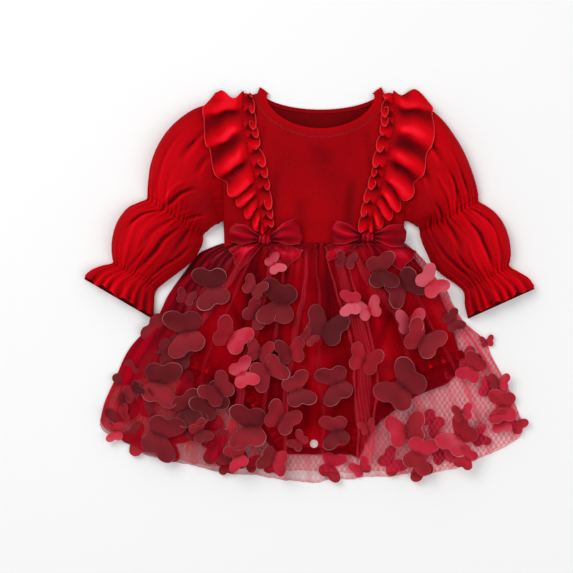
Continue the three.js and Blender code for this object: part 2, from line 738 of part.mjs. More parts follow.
// The one snap that shows at the crotch
const SNAP = { x: 0, y: -241, radius: 5, rim: 1, height: 1.9, crown: 3.2, sides: 14 };
function snap(romperFront) {
  const { radius, rim, height, crown, sides } = SNAP;
  const profile = [
    [0, 0],
    [radius, 0],
    [radius, rim],
    [crown, height],
    [0, height],
  ].map(([x, y]) => new THREE.Vector2(x, y));
  const lathe = new THREE.LatheGeometry(profile, sides);
  lathe.deleteAttribute("normal");
  lathe.deleteAttribute("uv");
  const geometry = mergeVertices(lathe.rotateX(Math.PI / 2));
  const base = topOf([romperFront], SNAP.x, SNAP.y, { reachX: radius }) + SEAM;
  const mesh = addNode("snap", geometry, "snap");
  mesh.position.set(SNAP.x, SNAP.y, base);
  mesh.updateMatrixWorld();
  return mesh;
}

// Shoulder ruffles. The seam runs from the shoulder to the bow, with a small frill on the neck's side
// of it and a wide flounce on the sleeve's side.
const RUFFLE_COLUMNS = ["seamX", "seamY", "frill", "flounce"];
const RUFFLES = {
  left: table(RUFFLE_COLUMNS, [
    [-84, 177, 9, 32],
    [-85, 158, 11, 46],
    [-85, 141, 12, 48],
    [-81, 123, 13, 47],
    [-78, 105, 13, 46],
    [-72, 85, 13, 43],
    [-68, 63, 13, 31],
    [-66, 44, 12, 22],
    [-62, 25, 12, 13],
    [-59, 13, 8, 7],
  ]),
  right: table(RUFFLE_COLUMNS, [
    [95, 177, 9, 32],
    [96, 158, 11, 45],
    [96, 141, 12, 47],
    [92, 123, 13, 48],
    [89, 105, 13, 45],
    [85, 88, 13, 44],
    [80, 67, 12, 34],
    [74, 48, 12, 26],
    [68, 30, 12, 18],
    [64, 16, 8, 9],
  ]),
};
const RUFFLE = { waves: 11, rowsPerWave: 4, height: 9, lean: 4.5, wall: 1.2, gathers: 0.8, scallop: 0.06 };
const FRILL_SIZE = 0.35; // height of the frill's waves as a share of the flounce's
const FULL_FLOUNCE = 30; // a flounce that is narrower than this has lower waves
const RUFFLE_SHARES = [-1, -0.5, 0, 0.22, 0.5, 0.78, 1]; // across, from the frill's edge to the flounce's

function ruffle(side, supports) {
  const rows = RUFFLE.waves * RUFFLE.rowsPerWave;
  const stations = RUFFLES[side];
  const line = smoothLine(stations.map((row) => [row.seamX, row.seamY]), rows + 1);
  const left = leftOf(line);
  const towardsSleeve = side === "left" ? -1 : 1;
  const widthAt = (key, share) => {
    const place = share * (stations.length - 1);
    const low = Math.min(stations.length - 2, Math.floor(place));
    return lerp(stations[low][key], stations[low + 1][key], place - low);
  };
  const grid = line.map((seam, r) => {
    const share = r / rows;
    const phase = (2 * Math.PI * r) / RUFFLE.rowsPerWave + 0.9 * Math.sin(share * 9);
    const along = line[Math.min(rows, r + 1)].clone().sub(line[Math.max(0, r - 1)]).normalize();
    const frill = widthAt("frill", share);
    const flounce = widthAt("flounce", share);
    const outwards = left[r].clone().multiplyScalar(left[r].x * towardsSleeve > 0 ? 1 : -1);
    return RUFFLE_SHARES.map((across) => {
      const reach = across < 0 ? across * frill : across * flounce;
      const full = Math.min(1, flounce / FULL_FLOUNCE);
      const size = across < 0 ? FRILL_SIZE * -across : full * across ** 0.7;
      const shift = across < 0 ? Math.PI * 0.5 : 0;
      const wave = (1 - Math.cos(phase + shift)) / 2;
      const lean = RUFFLE.lean * size * Math.sin(phase + shift);
      const scallop = 1 + RUFFLE.scallop * Math.sin(phase * 0.5 + 1) * Math.sign(across);
      const x = seam.x + outwards.x * reach * scallop + along.x * lean;
      const y = seam.y + outwards.y * reach * scallop + along.y * lean;
      const carried = topOf(supports, x, y, { reachX: 5 });
      const gathers = RUFFLE.gathers * (r % 2) * (1 - Math.min(1, Math.abs(across) * 3));
      return new THREE.Vector3(x, y, carried + RUFFLE.wall + RUFFLE.height * size * wave + gathers);
    });
  });
  return addNode(`ruffle_${side}`, seated(thickGeometry(grid, RUFFLE.wall), supports), "velvet");
}

// Bows. The knot's place and size, then each loop and tail by its direction, length and half widths.
const BOW_PIECE_COLUMNS = ["name", "angle", "length", "root", "middle", "tip", "height"];
const BOWS = {
  left: {
    knot: { x: -58.8, y: 4.2, halfLength: 7.5, halfWidth: 6, height: 8, tilt: -8 },
    tails: table(BOW_PIECE_COLUMNS, [
      ["tail_left", 213, 35, 4, 10, 14, 1.5],
      ["tail_right", -38, 33, 4, 10, 14, 1.5],
    ]),
    loops: table(BOW_PIECE_COLUMNS, [
      ["loop_left", 168, 36, 4, 11, 11, 8],
      ["loop_right", 14, 36, 4, 12, 15, 8],
    ]),
  },
  right: {
    knot: { x: 63.6, y: 7.2, halfLength: 8, halfWidth: 5.5, height: 8, tilt: -6 },
    tails: table(BOW_PIECE_COLUMNS, [
      ["tail_left", 203, 44, 4, 8, 9, 1.5],
      ["tail_right", -30, 50, 4, 13, 15, 1.5],
    ]),
    loops: table(BOW_PIECE_COLUMNS, [
      ["loop_left", 172, 34, 4, 11, 14, 8],
      ["loop_right", 2, 38, 4, 12, 13, 8],
    ]),
  },
};
const BOW_ROWS = { tail: 5, loop: 12 };
const BOW_ACROSS = [-1, -0.35, 0.35, 1];
const TAIL_SLANT = 5; // the tails are cut on the slant
const LOOP_TIP = 0.13; // how far the loop's tip is rounded back at its sides, as a share of its length
const KNOT = { stations: 5, sides: 10, girthAtEnds: 0.62, clear: 1 };

// A frame at a piece's root: away from the knot, and square to that.
function bowFrame(knot, piece) {
  const angle = degToRad(piece.angle);
  const away = new THREE.Vector2(Math.cos(angle), Math.sin(angle));
  const across = new THREE.Vector2(-away.y, away.x);
  const clear = knot.halfLength + KNOT.clear;
  const root = new THREE.Vector2(knot.x, knot.y).addScaledVector(away, clear);
  const halfWidth = (share) =>
    share < 0.5 ? lerp(piece.root, piece.middle, share * 2) : lerp(piece.middle, piece.tip, share * 2 - 1);
  return { root, away, across, halfWidth };
}

function bowTail(bow, knot, piece, supports) {
  const { root, away, across, halfWidth } = bowFrame(knot, piece);
  const grid = Array.from({ length: BOW_ROWS.tail + 1 }, (_, r) => {
    const share = r / BOW_ROWS.tail;
    return BOW_ACROSS.map((side) => {
      const slant = share * TAIL_SLANT * side;
      const p = root
        .clone()
        .addScaledVector(away, piece.length * share + slant)
        .addScaledVector(across, side * halfWidth(share));
      const ripple = piece.height * (0.5 + 0.5 * Math.sin(share * 5 + side * 1.6));
      const carried = topOf(supports, p.x, p.y, { reachX: 6 });
      return flatPoint(p, carried + RIBBON + ripple);
    });
  });
  return addNode(`bow_${bow}_${piece.name}`, seated(thickGeometry(grid, RIBBON), supports), "ribbon");
}

function bowLoop(bow, knot, piece, supports) {
  const { root, away, across, halfWidth } = bowFrame(knot, piece);
  const rows = BOW_ROWS.loop;
  const path = Array.from({ length: rows + 1 }, (_, r) => {
    const turn = (Math.PI * r) / rows;
    return { share: Math.sin(turn) ** 0.8, rise: -Math.cos(turn) };
  });
  const outer = path.map(({ share, rise }) =>
    BOW_ACROSS.map((side) => {
      const p = root
        .clone()
        .addScaledVector(away, piece.length * share * (1 - LOOP_TIP * share * side * side))
        .addScaledVector(across, side * halfWidth(share));
      const swell = lerp(0.55, 1, arch(share * 0.8 + 0.1, 1));
      return new THREE.Vector3(p.x, p.y, (piece.height / 2) * swell * rise);
    }),
  );
  const inner = outer.map((row, r) =>
    row.map((p, c) => {
      const before = outer[Math.max(0, r - 1)][c];
      const after = outer[Math.min(rows, r + 1)][c];
      const along = after.clone().sub(before);
      const sideways = outer[r].at(-1).clone().sub(outer[r][0]);
      const inwards = sideways.cross(along).normalize();
      return p.clone().addScaledVector(inwards, RIBBON);
    }),
  );
  return addNode(`bow_${bow}_${piece.name}`, seated(wallGeometry(outer, inner), supports), "ribbon");
}

function bowKnot(bow, knot, supports) {
  const { stations, sides, girthAtEnds } = KNOT;
  const tilt = degToRad(knot.tilt);
  const away = new THREE.Vector2(Math.cos(tilt), Math.sin(tilt));
  const across = new THREE.Vector2(-away.y, away.x);
  const sections = Array.from({ length: stations }, (_, s) => {
    const share = (2 * s) / (stations - 1) - 1;
    const girth = lerp(girthAtEnds, 1, Math.cos((share * Math.PI) / 2));
    return Array.from({ length: sides }, (_, i) => {
      const angle = (2 * Math.PI * i) / sides;
      const p = new THREE.Vector2(knot.x, knot.y)
        .addScaledVector(away, share * knot.halfLength)
        .addScaledVector(across, Math.cos(angle) * knot.halfWidth * girth);
      return new THREE.Vector3(p.x, p.y, (knot.height / 2) * Math.sin(angle) * girth);
    });
  });
  return addNode(`bow_${bow}_knot`, seated(sweptGeometry(sections, false), supports), "ribbon");
}

// Cloth butterflies on the front net: the middle of the body, the way it faces, its span from tip to tip,
// and how steeply each wing stands up.
const BUTTERFLY_COLUMNS = ["x", "y", "facing", "span", "leftRise", "rightRise"];
const BUTTERFLIES = table(BUTTERFLY_COLUMNS, [
  [-120, -53, 190, 52, 0.15, 0.1],
  [-152, -107, 190, 58, 0.2, 0.15],
  [-100, -113, 60, 48, 0.7, 0.25],
  [-69, -87, 45, 38, 0.4, 0.3],
  [-41, -72, 170, 56, 0.2, 0.2],
  [-65, -131, 80, 34, 0.3, 0.5],
  [-56, -152, 300, 46, 0.25, 0.2],
  [-86, -156, 25, 38, 0.4, 0.4],
  [-28, -131, 100, 38, 0.4, 0.5],
  [-186, -168, 350, 56, 0.15, 0.15],
  [-152, -200, 20, 46, 0.15, 0.2],
  [-76, -220, 180, 56, 0.25, 0.3],
  [-40, -211, 60, 44, 0.5, 0.4],
  [-184, -231, 340, 56, 0.2, 0.15],
  [-122, -192, 130, 46, 0.15, 0.2],
  [106, -50, 300, 50, 0.2, 0.2],
  [66, -80, 110, 33, 0.4, 0.7],
  [115, -96, 95, 38, 0.7, 0.5],
  [129, -117, 60, 50, 0.4, 0.3],
  [60, -141, 70, 42, 0.4, 0.8],
  [27, -168, 200, 48, 0.3, 0.3],
  [107, -173, 140, 62, 0.3, 0.25],
  [13, -102, 70, 52, 0.2, 0.2],
  [27, -225, 190, 42, 0.3, 0.3],
  [110, -226, 100, 50, 0.3, 0.25],
  [124, -252, 340, 46, 0.2, 0.2],
  [174, -233, 140, 50, 0.4, 0.5],
  [191, -151, 150, 38, 0.3, 0.3],
]);
// Half of a butterfly's outline in shares of half its span: forwards along the body, then sideways.
const WING_OUTLINE = [
  [0.6, 0.14],
  [0.96, 0.5],
  [0.94, 0.84],
  [0.58, 1],
  [0.18, 0.84],
  [0, 0.6],
  [-0.34, 0.82],
  [-0.7, 0.62],
  [-0.5, 0.14],
];
const BODY = { head: 0.3, tail: -0.36 };

function butterfly(index, row, supports) {
  const half = row.span / 2;
  const facing = degToRad(row.facing);
  const forwards = new THREE.Vector2(Math.cos(facing), Math.sin(facing));
  const sideways = new THREE.Vector2(-forwards.y, forwards.x);
  const place = (along, out) => {
    const p = new THREE.Vector2(row.x, row.y)
      .addScaledVector(forwards, along * half)
      .addScaledVector(sideways, out * half);
    const rise = out > 0 ? row.leftRise : row.rightRise;
    return new THREE.Vector3(p.x, p.y, Math.abs(out) * half * rise);
  };
  const outline = [
    place(BODY.head, 0),
    ...WING_OUTLINE.map(([along, out]) => place(along, out)),
    place(BODY.tail, 0),
    ...WING_OUTLINE.map(([along, out]) => place(along, -out)).reverse(),
  ];
  const count = outline.length;
  const top = [place(0, 0), ...outline];
  const under = top.map((p) => p.clone().setZ(p.z - WING));
  const faces = [];
  for (let i = 1; i <= count; i++) {
    const next = (i % count) + 1;
    const below = count + 1;
    faces.push(0, i, next);
    faces.push(below, below + next, below + i);
    faces.push(i, below + i, below + next, i, below + next, next);
  }
  const name = `butterfly_${String(index + 1).padStart(2, "0")}`;
  return addNode(name, seated(outwardGeometry([...top, ...under], faces), supports), "wing");
}

const frontNeckEdge = bodiceFront();
bodiceBack();
neckBinding(frontNeckEdge);
sleeve("left");
sleeve("right");
const backNet = skirtBack();
const front = romperFront();
const back = romperBack();
const bands = [legBand("left", front, back), legBand("right", front, back)];
const snapMesh = snap(front.mesh);
const frontNet = skirtFront([front.mesh, back.mesh, ...bands, snapMesh, backNet]);
for (const side of ["left", "right"]) ruffle(side, dress.children.slice());
for (const [bow, { knot, tails, loops }] of Object.entries(BOWS)) {
  bowKnot(bow, knot, dress.children.slice());
  for (const piece of tails) bowTail(bow, knot, piece, dress.children.slice());
  for (const piece of loops) bowLoop(bow, knot, piece, dress.children.slice());
}
const wings = [frontNet];
BUTTERFLIES.forEach((row, index) => wings.push(butterfly(index, row, wings)));

// The origin goes under the middle of the whole dress.
const box = new THREE.Box3().setFromObject(dress);
const centre = box.getCenter(new THREE.Vector3());
dress.position.set(-centre.x, -centre.y, -box.min.z);
dress.updateMatrixWorld(true);

export default dress;
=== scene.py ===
"""The looks of a toddler's velvet romper dress with a net overskirt, laid flat on its back.

Sizes are in millimetres in the dress's own frame, X zero on its middle line and Y zero at the waist seam.
make_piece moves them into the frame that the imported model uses, in metres.
"""
import json
import math

import bpy
import numpy as np
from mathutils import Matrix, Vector
from mathutils.bvhtree import BVHTree

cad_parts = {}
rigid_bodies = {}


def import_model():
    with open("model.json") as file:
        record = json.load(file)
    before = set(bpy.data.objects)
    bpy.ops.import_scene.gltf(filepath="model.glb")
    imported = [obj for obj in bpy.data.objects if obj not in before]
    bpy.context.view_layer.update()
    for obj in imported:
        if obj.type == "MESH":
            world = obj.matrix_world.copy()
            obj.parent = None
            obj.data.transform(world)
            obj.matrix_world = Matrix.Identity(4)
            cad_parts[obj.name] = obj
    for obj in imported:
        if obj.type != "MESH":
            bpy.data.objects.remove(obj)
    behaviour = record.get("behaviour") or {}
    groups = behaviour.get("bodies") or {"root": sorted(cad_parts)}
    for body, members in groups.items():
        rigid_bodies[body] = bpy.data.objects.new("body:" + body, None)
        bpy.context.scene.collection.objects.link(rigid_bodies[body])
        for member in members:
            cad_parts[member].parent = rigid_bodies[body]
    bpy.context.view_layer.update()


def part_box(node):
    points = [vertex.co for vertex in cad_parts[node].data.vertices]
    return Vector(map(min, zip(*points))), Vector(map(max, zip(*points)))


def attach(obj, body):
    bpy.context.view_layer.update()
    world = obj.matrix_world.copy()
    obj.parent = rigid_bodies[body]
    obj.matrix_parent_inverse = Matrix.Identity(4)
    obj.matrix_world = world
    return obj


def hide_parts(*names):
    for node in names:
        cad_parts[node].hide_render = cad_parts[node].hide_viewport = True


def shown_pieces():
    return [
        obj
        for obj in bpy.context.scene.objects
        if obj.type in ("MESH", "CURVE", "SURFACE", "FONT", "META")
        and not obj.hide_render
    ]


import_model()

MM = 0.001
back_low, back_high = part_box("bodice_back")
WAIST_GAP = 0.15
ORIGIN = np.array([(back_low[0] + back_high[0]) / 2 / MM, back_low[1] / MM - WAIST_GAP, 0.0])

# Driving sizes
VELVET = 1.6
BODICE_ROWS, ROMPER_ROWS = 90, 110
BACK_NET_GRID, FRONT_NET_GRID = (70, 300), (90, 420)
RIBBON = 0.7
SEAM = 0.3
WAIST_HALF = 107.8
SHOULDER = (113.7, 169.0)
NET_TOP = 1.4
BACK_TOP = 1.6
FRONT_TOP = BACK_TOP + SEAM + VELVET
BODY_LOFT = 7.5
ROMPER_TOP = NET_TOP + VELVET + SEAM + VELVET
ROMPER_LOFT = 7.5
NECK = {"x": 8.0, "half": 76.0, "tip": 180.0, "front": 50.0, "back": 24.0, "band": 10.0}


# Numbers and curves
def table(columns, rows):
    return [dict(zip(columns, row)) for row in rows]


def column(rows, name):
    return np.array([row[name] for row in rows], float)


def smoothstep(t):
    t = np.clip(t, 0, 1)
    return t * t * (3 - 2 * t)


def bump(distance, half_width):
    """1 at the middle, 0 at half_width on each side."""
    return smoothstep(1 - np.abs(distance) / half_width)


def power(x, e):
    return np.maximum(x, 0) ** e


def catmull(points, t):
    """Points of a smooth curve through the rows of points, at t in rows."""
    points = np.asarray(points, float)
    t = np.clip(np.asarray(t, float), 0, len(points) - 1)
    i = np.minimum(t.astype(int), len(points) - 2)
    w = (t - i).reshape(t.shape + (1,) * (points.ndim - 1))
    p0 = points[np.maximum(i - 1, 0)]
    p1 = points[i]
    p2 = points[i + 1]
    p3 = points[np.minimum(i + 2, len(points) - 1)]
    v1 = (p2 - p0) / 2
    v2 = (p3 - p1) / 2
    w2, w3 = w * w, w * w * w
    return (2 * p1 - 2 * p2 + v1 + v2) * w3 + (-3 * p1 + 3 * p2 - 2 * v1 - v2) * w2 + v1 * w + p1


def smooth_line(points, count, share=1.0):
    """Evenly spaced points along a smooth curve, down to a share of its length."""
    dense = catmull(points, np.linspace(0, len(points) - 1, 60 * len(points)))
    steps = np.r_[0, np.cumsum(np.linalg.norm(np.diff(dense, axis=0), axis=1))]
    wanted = np.linspace(0, steps[-1] * share, count)
    return np.stack([np.interp(wanted, steps, dense[:, k]) for k in range(dense.shape[1])], 1)


def left_of(line):
    along = np.gradient(line, axis=0)
    along /= np.linalg.norm(along, axis=1)[:, None]
    return np.stack([-along[:, 1], along[:, 0]], 1)


def ripple(x, seed, octaves=3):
    """Smooth uneven numbers between about -1 and 1."""
    turns = np.random.default_rng(seed)
    total = np.zeros_like(np.asarray(x, float))
    for k in range(octaves):
        total = total + np.sin(x * (1.7**k) * turns.uniform(0.8, 1.25) + turns.uniform(0, 6.3)) / (k + 1)
    return total / 1.6


def patch_grid(top, bottom, left, right):
    """Points in a patch with four curved sides. Top and bottom run from left to right, the sides down."""
    u = np.linspace(0, 1, len(top))[None, :, None]
    v = np.linspace(0, 1, len(left))[:, None, None]
    ruled = top[None] * (1 - v) + bottom[None] * v + left[:, None] * (1 - u) + right[:, None] * u
    corners = (top[0] * (1 - u) + top[-1] * u) * (1 - v) + (bottom[0] * (1 - u) + bottom[-1] * u) * v
    return ruled - corners


def shares(rows, columns):
    """How far down and how far across each point of a grid lies, from 0 to 1."""
    return np.linspace(0, 1, rows)[:, None], np.linspace(0, 1, columns)[None]


def with_height(flat, z):
    return np.concatenate([flat, np.broadcast_to(z, flat.shape[:2])[..., None]], 2)


def grid_normals(grid):
    normal = np.cross(np.gradient(grid, axis=1), np.gradient(grid, axis=0))
    return normal / np.maximum(np.linalg.norm(normal, axis=2), 1e-9)[..., None]


# Meshes
def make_piece(name, points, faces, material, attributes=()):
    """A mesh object from points in millimetres. Each attribute holds one value for each point."""
    mesh = bpy.data.meshes.new(name)
    places = (np.asarray(points, float) + ORIGIN) * MM
    faces = np.asarray(faces, np.int32)
    corners = faces.shape[1]
    mesh.vertices.add(len(places))
    mesh.vertices.foreach_set("co", places.ravel())
    mesh.loops.add(faces.size)
    mesh.loops.foreach_set("vertex_index", faces.ravel())
    mesh.polygons.add(len(faces))
    mesh.polygons.foreach_set("loop_start", np.arange(0, faces.size, corners, dtype=np.int32))
    mesh.update(calc_edges=True)
    mesh.validate()
    mesh.polygons.foreach_set("use_smooth", np.ones(len(faces), bool))
    for key, values in dict(attributes).items():
        layer = mesh.attributes.new(key, "FLOAT", "POINT")
        layer.data.foreach_set("value", np.asarray(values, float).ravel())
    mesh.materials.append(material)
    mesh.update()
    made = bpy.data.objects.new(name, mesh)
    bpy.context.scene.collection.objects.link(made)
    return made


def quads(rows, columns, start=0, rounds=False, flip=False):
    r, c = np.meshgrid(np.arange(rows - 1), np.arange(columns if rounds else columns - 1), indexing="ij")
    n = (c + 1) % columns
    face = np.stack([r * columns + c, r * columns + n, (r + 1) * columns + n, (r + 1) * columns + c], -1)
    face = face.reshape(-1, 4) + start
    return face[:, ::-1] if flip else face


def strip(a, b):
    """Quads between two lines of point numbers."""
    return np.stack([a[:-1], b[:-1], b[1:], a[1:]], 1)


def signed_volume(points, faces):
    a, b, c, d = (points[faces[:, k]] for k in range(4))
    return (np.einsum("ij,ij->i", a, np.cross(b, c)) + np.einsum("ij,ij->i", a, np.cross(c, d))).sum()


INSIDE_SHADE = -0.8  # painted shade: the inner face of every wall is painted darker, as if in shadow


def wall_piece(name, outer, inner, material, fold=None, rounds=False, rim=None):
    """A closed wall between two grids. Fold is the painted light and shade of each outer point: lighter where
    it stands up, darker where it lies in a crease.
    """
    rows, columns = outer.shape[:2]
    count = rows * columns
    points = np.concatenate([outer.reshape(-1, 3), inner.reshape(-1, 3)])
    number = np.arange(count).reshape(rows, columns)
    parts = [quads(rows, columns, 0, rounds), quads(rows, columns, count, rounds, flip=True)]
    ends = [number[0], number[-1]]
    if rounds:
        ends = [np.r_[end, end[:1]] for end in ends]
    parts.append(strip(ends[0], ends[0] + count)[:, ::-1])
    parts.append(strip(ends[1], ends[1] + count))
    if not rounds:
        parts.append(strip(number[:, 0], number[:, 0] + count))
        parts.append(strip(number[:, -1], number[:, -1] + count)[:, ::-1])
    faces = np.concatenate(parts)
    if signed_volume(points, faces) < 0:
        faces = faces[:, ::-1]
    fold = np.zeros((rows, columns)) if fold is None else fold
    rim = np.zeros((rows, columns)) if rim is None else rim
    # Painted light: fold paints the outer face, INSIDE_SHADE paints shade on the inner face, and rim paints a
    # highlight along edges, half as strong inside.
    values = {
        "fold": np.concatenate([fold.ravel(), np.full(count, INSIDE_SHADE)]),
        "rim": np.concatenate([rim.ravel(), rim.ravel() * 0.5]),
    }
    return make_piece(name, points, faces, material, values)


def sheet_wall(name, grid, wall, material, fold=None, rim=None):
    """A wall of even thickness below a grid of points."""
    normal = grid_normals(grid)
    normal = normal * np.sign(normal[..., 2].mean())
    return wall_piece(name, grid, grid - normal * wall, material, fold, rim=rim)


class Landing:
    """The top of some finished pieces, to lay the next one on."""

    def __init__(self, pieces):
        self.trees = []
        for piece in pieces:
            points = np.empty(len(piece.data.vertices) * 3)
            piece.data.vertices.foreach_get("co", points)
            points = points.reshape(-1, 3) / MM - ORIGIN
            faces = [tuple(face.vertices) for face in piece.data.polygons]
            self.trees.append(BVHTree.FromPolygons([Vector(p) for p in points], faces))

    def top(self, x, y, lowest=0.0):
        best = lowest
        for tree in self.trees:
            hit = tree.ray_cast(Vector((x, y, 300.0)), Vector((0, 0, -1)))[0]
            if hit is not None:
                best = max(best, hit[2])
        return best

    def tops(self, grid, lowest=0.0):
        flat = grid.reshape(-1, grid.shape[-1])
        return np.array([self.top(p[0], p[1], lowest) for p in flat]).reshape(grid.shape[:-1])


def blurred(values, rounds):
    """A grid of heights made smooth, never lower than it was."""
    soft = values.copy()
    for _ in range(rounds):
        padded = np.pad(soft, 1, mode="edge")
        soft = (padded[:-2, 1:-1] + padded[2:, 1:-1] + padded[1:-1, :-2] + padded[1:-1, 2:]) / 4
        soft = np.maximum(soft, values)
    return soft


# Shader maths
class Value:
    """A node socket that adds Math nodes when it is used in an expression."""

    def __init__(self, kit, socket):
        self.kit, self.socket = kit, socket

    def _math(self, operation, first, second=None, clamp=False):
        inputs = {0: first} if second is None else {0: first, 1: second}
        return self.kit.node("ShaderNodeMath", {"operation": operation, "use_clamp": clamp}, inputs)

    def __add__(self, other):
        return self._math("ADD", self, other)

    __radd__ = __add__

    def __mul__(self, other):
        return self._math("MULTIPLY", self, other)

    __rmul__ = __mul__

    def __sub__(self, other):
        return self._math("SUBTRACT", self, other)

    def __rsub__(self, other):
        return self._math("SUBTRACT", other, self)

    def clamped(self):
        return self._math("ADD", self, 0.0, clamp=True)

    def sine(self):
        return self._math("SINE", self)


class Finish:
    """A material, with one method that makes any node."""

    def __init__(self, name, **shader):
        self.material = bpy.data.materials.new(name)
        self.material.use_nodes = True
        self.nodes = self.material.node_tree.nodes
        self.links = self.material.node_tree.links
        self.shader = self.nodes["Principled BSDF"]
        for key, value in shader.items():
            self.shader.inputs[key.replace("_", " ")].default_value = value

    def node(self, kind, settings=None, inputs=None, output=0):
        made = self.nodes.new(kind)
        for key, value in (settings or {}).items():
            if key == "stops":
                self._set_stops(made.color_ramp, value)
            else:
                setattr(made, key, value)
        for key, value in (inputs or {}).items():
            if isinstance(value, Value):
                self.links.new(value.socket, made.inputs[key])
            else:
                made.inputs[key].default_value = value
        return Value(self, made.outputs[output])

    @staticmethod
    def _set_stops(ramp, stops):
        while len(ramp.elements) < len(stops):
            ramp.elements.new(0.5)
        for element, (position, colour) in zip(ramp.elements, stops):
            element.position = position
            element.color = colour

    def ramp(self, factor, stops):
        return self.node("ShaderNodeValToRGB", {"stops": stops}, {0: factor})

    def object_place(self):
        return self.node("ShaderNodeTexCoord", output=3)

    def noise(self, scale, detail=2.0, place=None):
        place = place or self.object_place()
        return self.node("ShaderNodeTexNoise", None, {"Vector": place, "Scale": scale, "Detail": detail})

    def attribute(self, name):
        return self.node("ShaderNodeAttribute", {"attribute_name": name}, output=2)

    def mix(self, share, first, second):
        """One colour going over to another."""
        inputs = {0: share, 6: first, 7: second}
        return self.node("ShaderNodeMix", {"data_type": "RGBA"}, inputs, output=2)

    def axes(self, place):
        split = self.nodes.new("ShaderNodeSeparateXYZ")
        self.links.new(place.socket, split.inputs[0])
        return [Value(self, split.outputs[k]) for k in range(3)]

    def set(self, socket, value):
        self.links.new(value.socket, self.shader.inputs[socket])

    def raise_by(self, height, strength, distance):
        bumped = self.node(
            "ShaderNodeBump", None, {"Height": height, "Strength": strength, "Distance": distance}
        )
        self.set("Normal", bumped)


def colour(*values):
    return (*values, 1.0)


CELL = {"x": 0.0062, "y": 0.019}  # the pale cells that two layers of net make
NET_LEFT = colour(0.43, 0.002, 0.012)
NET_RIGHT = colour(0.76, 0.025, 0.07)
# The colour of the net's painted shade.
NET_SHADE = colour(0.075, 0.003, 0.006)


def ramp_stops(*stops):
    return [(stop, colour(*tint)) for stop, tint in stops]


def shiny(made, specular, tint=None):
    made.shader.inputs["Specular IOR Level"].default_value = specular
    if tint is not None:
        made.shader.inputs["Specular Tint"].default_value = tint


def velvet_finish():
    made = Finish("velvet", Roughness=0.7, Sheen_Weight=0.3, Sheen_Roughness=0.35)
    made.shader.inputs["Sheen Tint"].default_value = colour(1.0, 0.03, 0.05)
    shiny(made, 0.04)
    fold, rim = made.attribute("fold"), made.attribute("rim")
    pile, nap, patches = made.noise(2600.0, 2.0), made.noise(420.0, 3.0), made.noise(15.0, 3.0)
    # Painted light: fold brings each piece's painted shade and highlights; patches, nap and pile are the
    # pile's own tone, varying at random.
    shade = 0.5 + fold * 0.5 + (patches - 0.5) * 0.24 + (nap - 0.5) * 0.16 + (pile - 0.5) * 0.1
    cloth = made.ramp(shade.clamped(), VELVET_STOPS)
    # rim mixes in a painted highlight along edges.
    made.set("Base Color", made.mix(rim, cloth, VELVET_RIM_HIGHLIGHT))
    made.raise_by(pile, 0.35, 0.0004)
    return made.material


def satin_finish():
    made = Finish("satin", Roughness=0.3)
    shiny(made, 0.3, colour(1.0, 0.12, 0.15))
    fold, rim = made.attribute("fold"), made.attribute("rim")
    weave, patches = made.noise(1800.0, 1.0), made.noise(26.0, 2.0)
    # Painted light: fold brings each piece's painted shade and highlights, and patches paints broad soft
    # highlights like reflections on the satin.
    shade = 0.42 + fold * 0.5 + (patches - 0.5) * 0.4
    cloth = made.ramp(shade.clamped(), SATIN_STOPS)
    # rim mixes in a painted highlight along the ribbon's edges.
    made.set("Base Color", made.mix(rim, cloth, SATIN_RIM_HIGHLIGHT))
    made.raise_by(weave, 0.12, 0.0002)
    return made.material


def net_finish(name, clear, body, moire, over_velvet):
    """Net whose threads cover more or less of what is behind.

    Clear is how much one layer covers, body what doubled cloth adds, and moire how strong the pale cells are.
    Where two layers lie over white, their meshes make staggered pale cells far larger than one mesh.
    """
    made = Finish(name, Roughness=0.8)
    shiny(made, 0.0)
    x, y, _ = made.axes(made.object_place())
    density, dark, over = (made.attribute(key) for key in ("doubled", "dark", "over"))
    drift = made.noise(7.0, 2.0)
    bend = (drift - 0.5) * 5.0
    column_turn = x * (2 * math.pi / CELL["x"]) + bend
    row_turn = y * (2 * math.pi / CELL["y"]) + bend * 0.6
    sway = row_turn.sine() * 2.7
    first = (column_turn + sway).sine() * 0.5 + 0.5
    second = (column_turn - sway).sine() * 0.5 + 0.5
    cells = 0.45 - first * first * first - second * second * second
    right = (x * 3.2 + 0.45).clamped()
    plain = (1.0 - over).clamped()
    thin = (1.0 - density * 0.9).clamped()
    cover = clear + density * body + cells * thin * plain * (right + 0.15) * moire
    cover = cover + (drift - 0.5) * 0.1 * plain - right * plain * 0.09
    made.set("Alpha", cover.clamped())
    loose = made.mix(right, NET_LEFT, NET_RIGHT)
    on_velvet = made.ramp(density.clamped(), over_velvet)
    cloth = made.mix(over, loose, on_velvet)
    # Painted shade: the net is darkened in its gathers and deep layers.
    made.set("Base Color", made.mix(dark, cloth, NET_SHADE))
    return made.material


def wing_finish():
    made = Finish("wing_cloth", Roughness=0.6)
    shiny(made, 0.12)
    tint, edge = made.attribute("tint"), made.attribute("edge")
    weave, soft = made.noise(1500.0, 2.0), made.noise(60.0, 2.0)
    # tint carries each butterfly's tone with the painted light on its wings, and edge the pale cut edge with
    # a painted highlight.
    shade = (tint + (weave - 0.5) * 0.08 + (soft - 0.5) * 0.16).clamped()
    made.set("Base Color", made.mix(edge, made.ramp(shade, WING_STOPS), WING_EDGE))
    made.raise_by(weave, 0.15, 0.0002)
    return made.material


def speckled_finish(name, roughness, scale, stops):
    made = Finish(name, Roughness=roughness)
    made.set("Base Color", made.ramp(made.noise(scale, 1.0), stops))
    return made.material


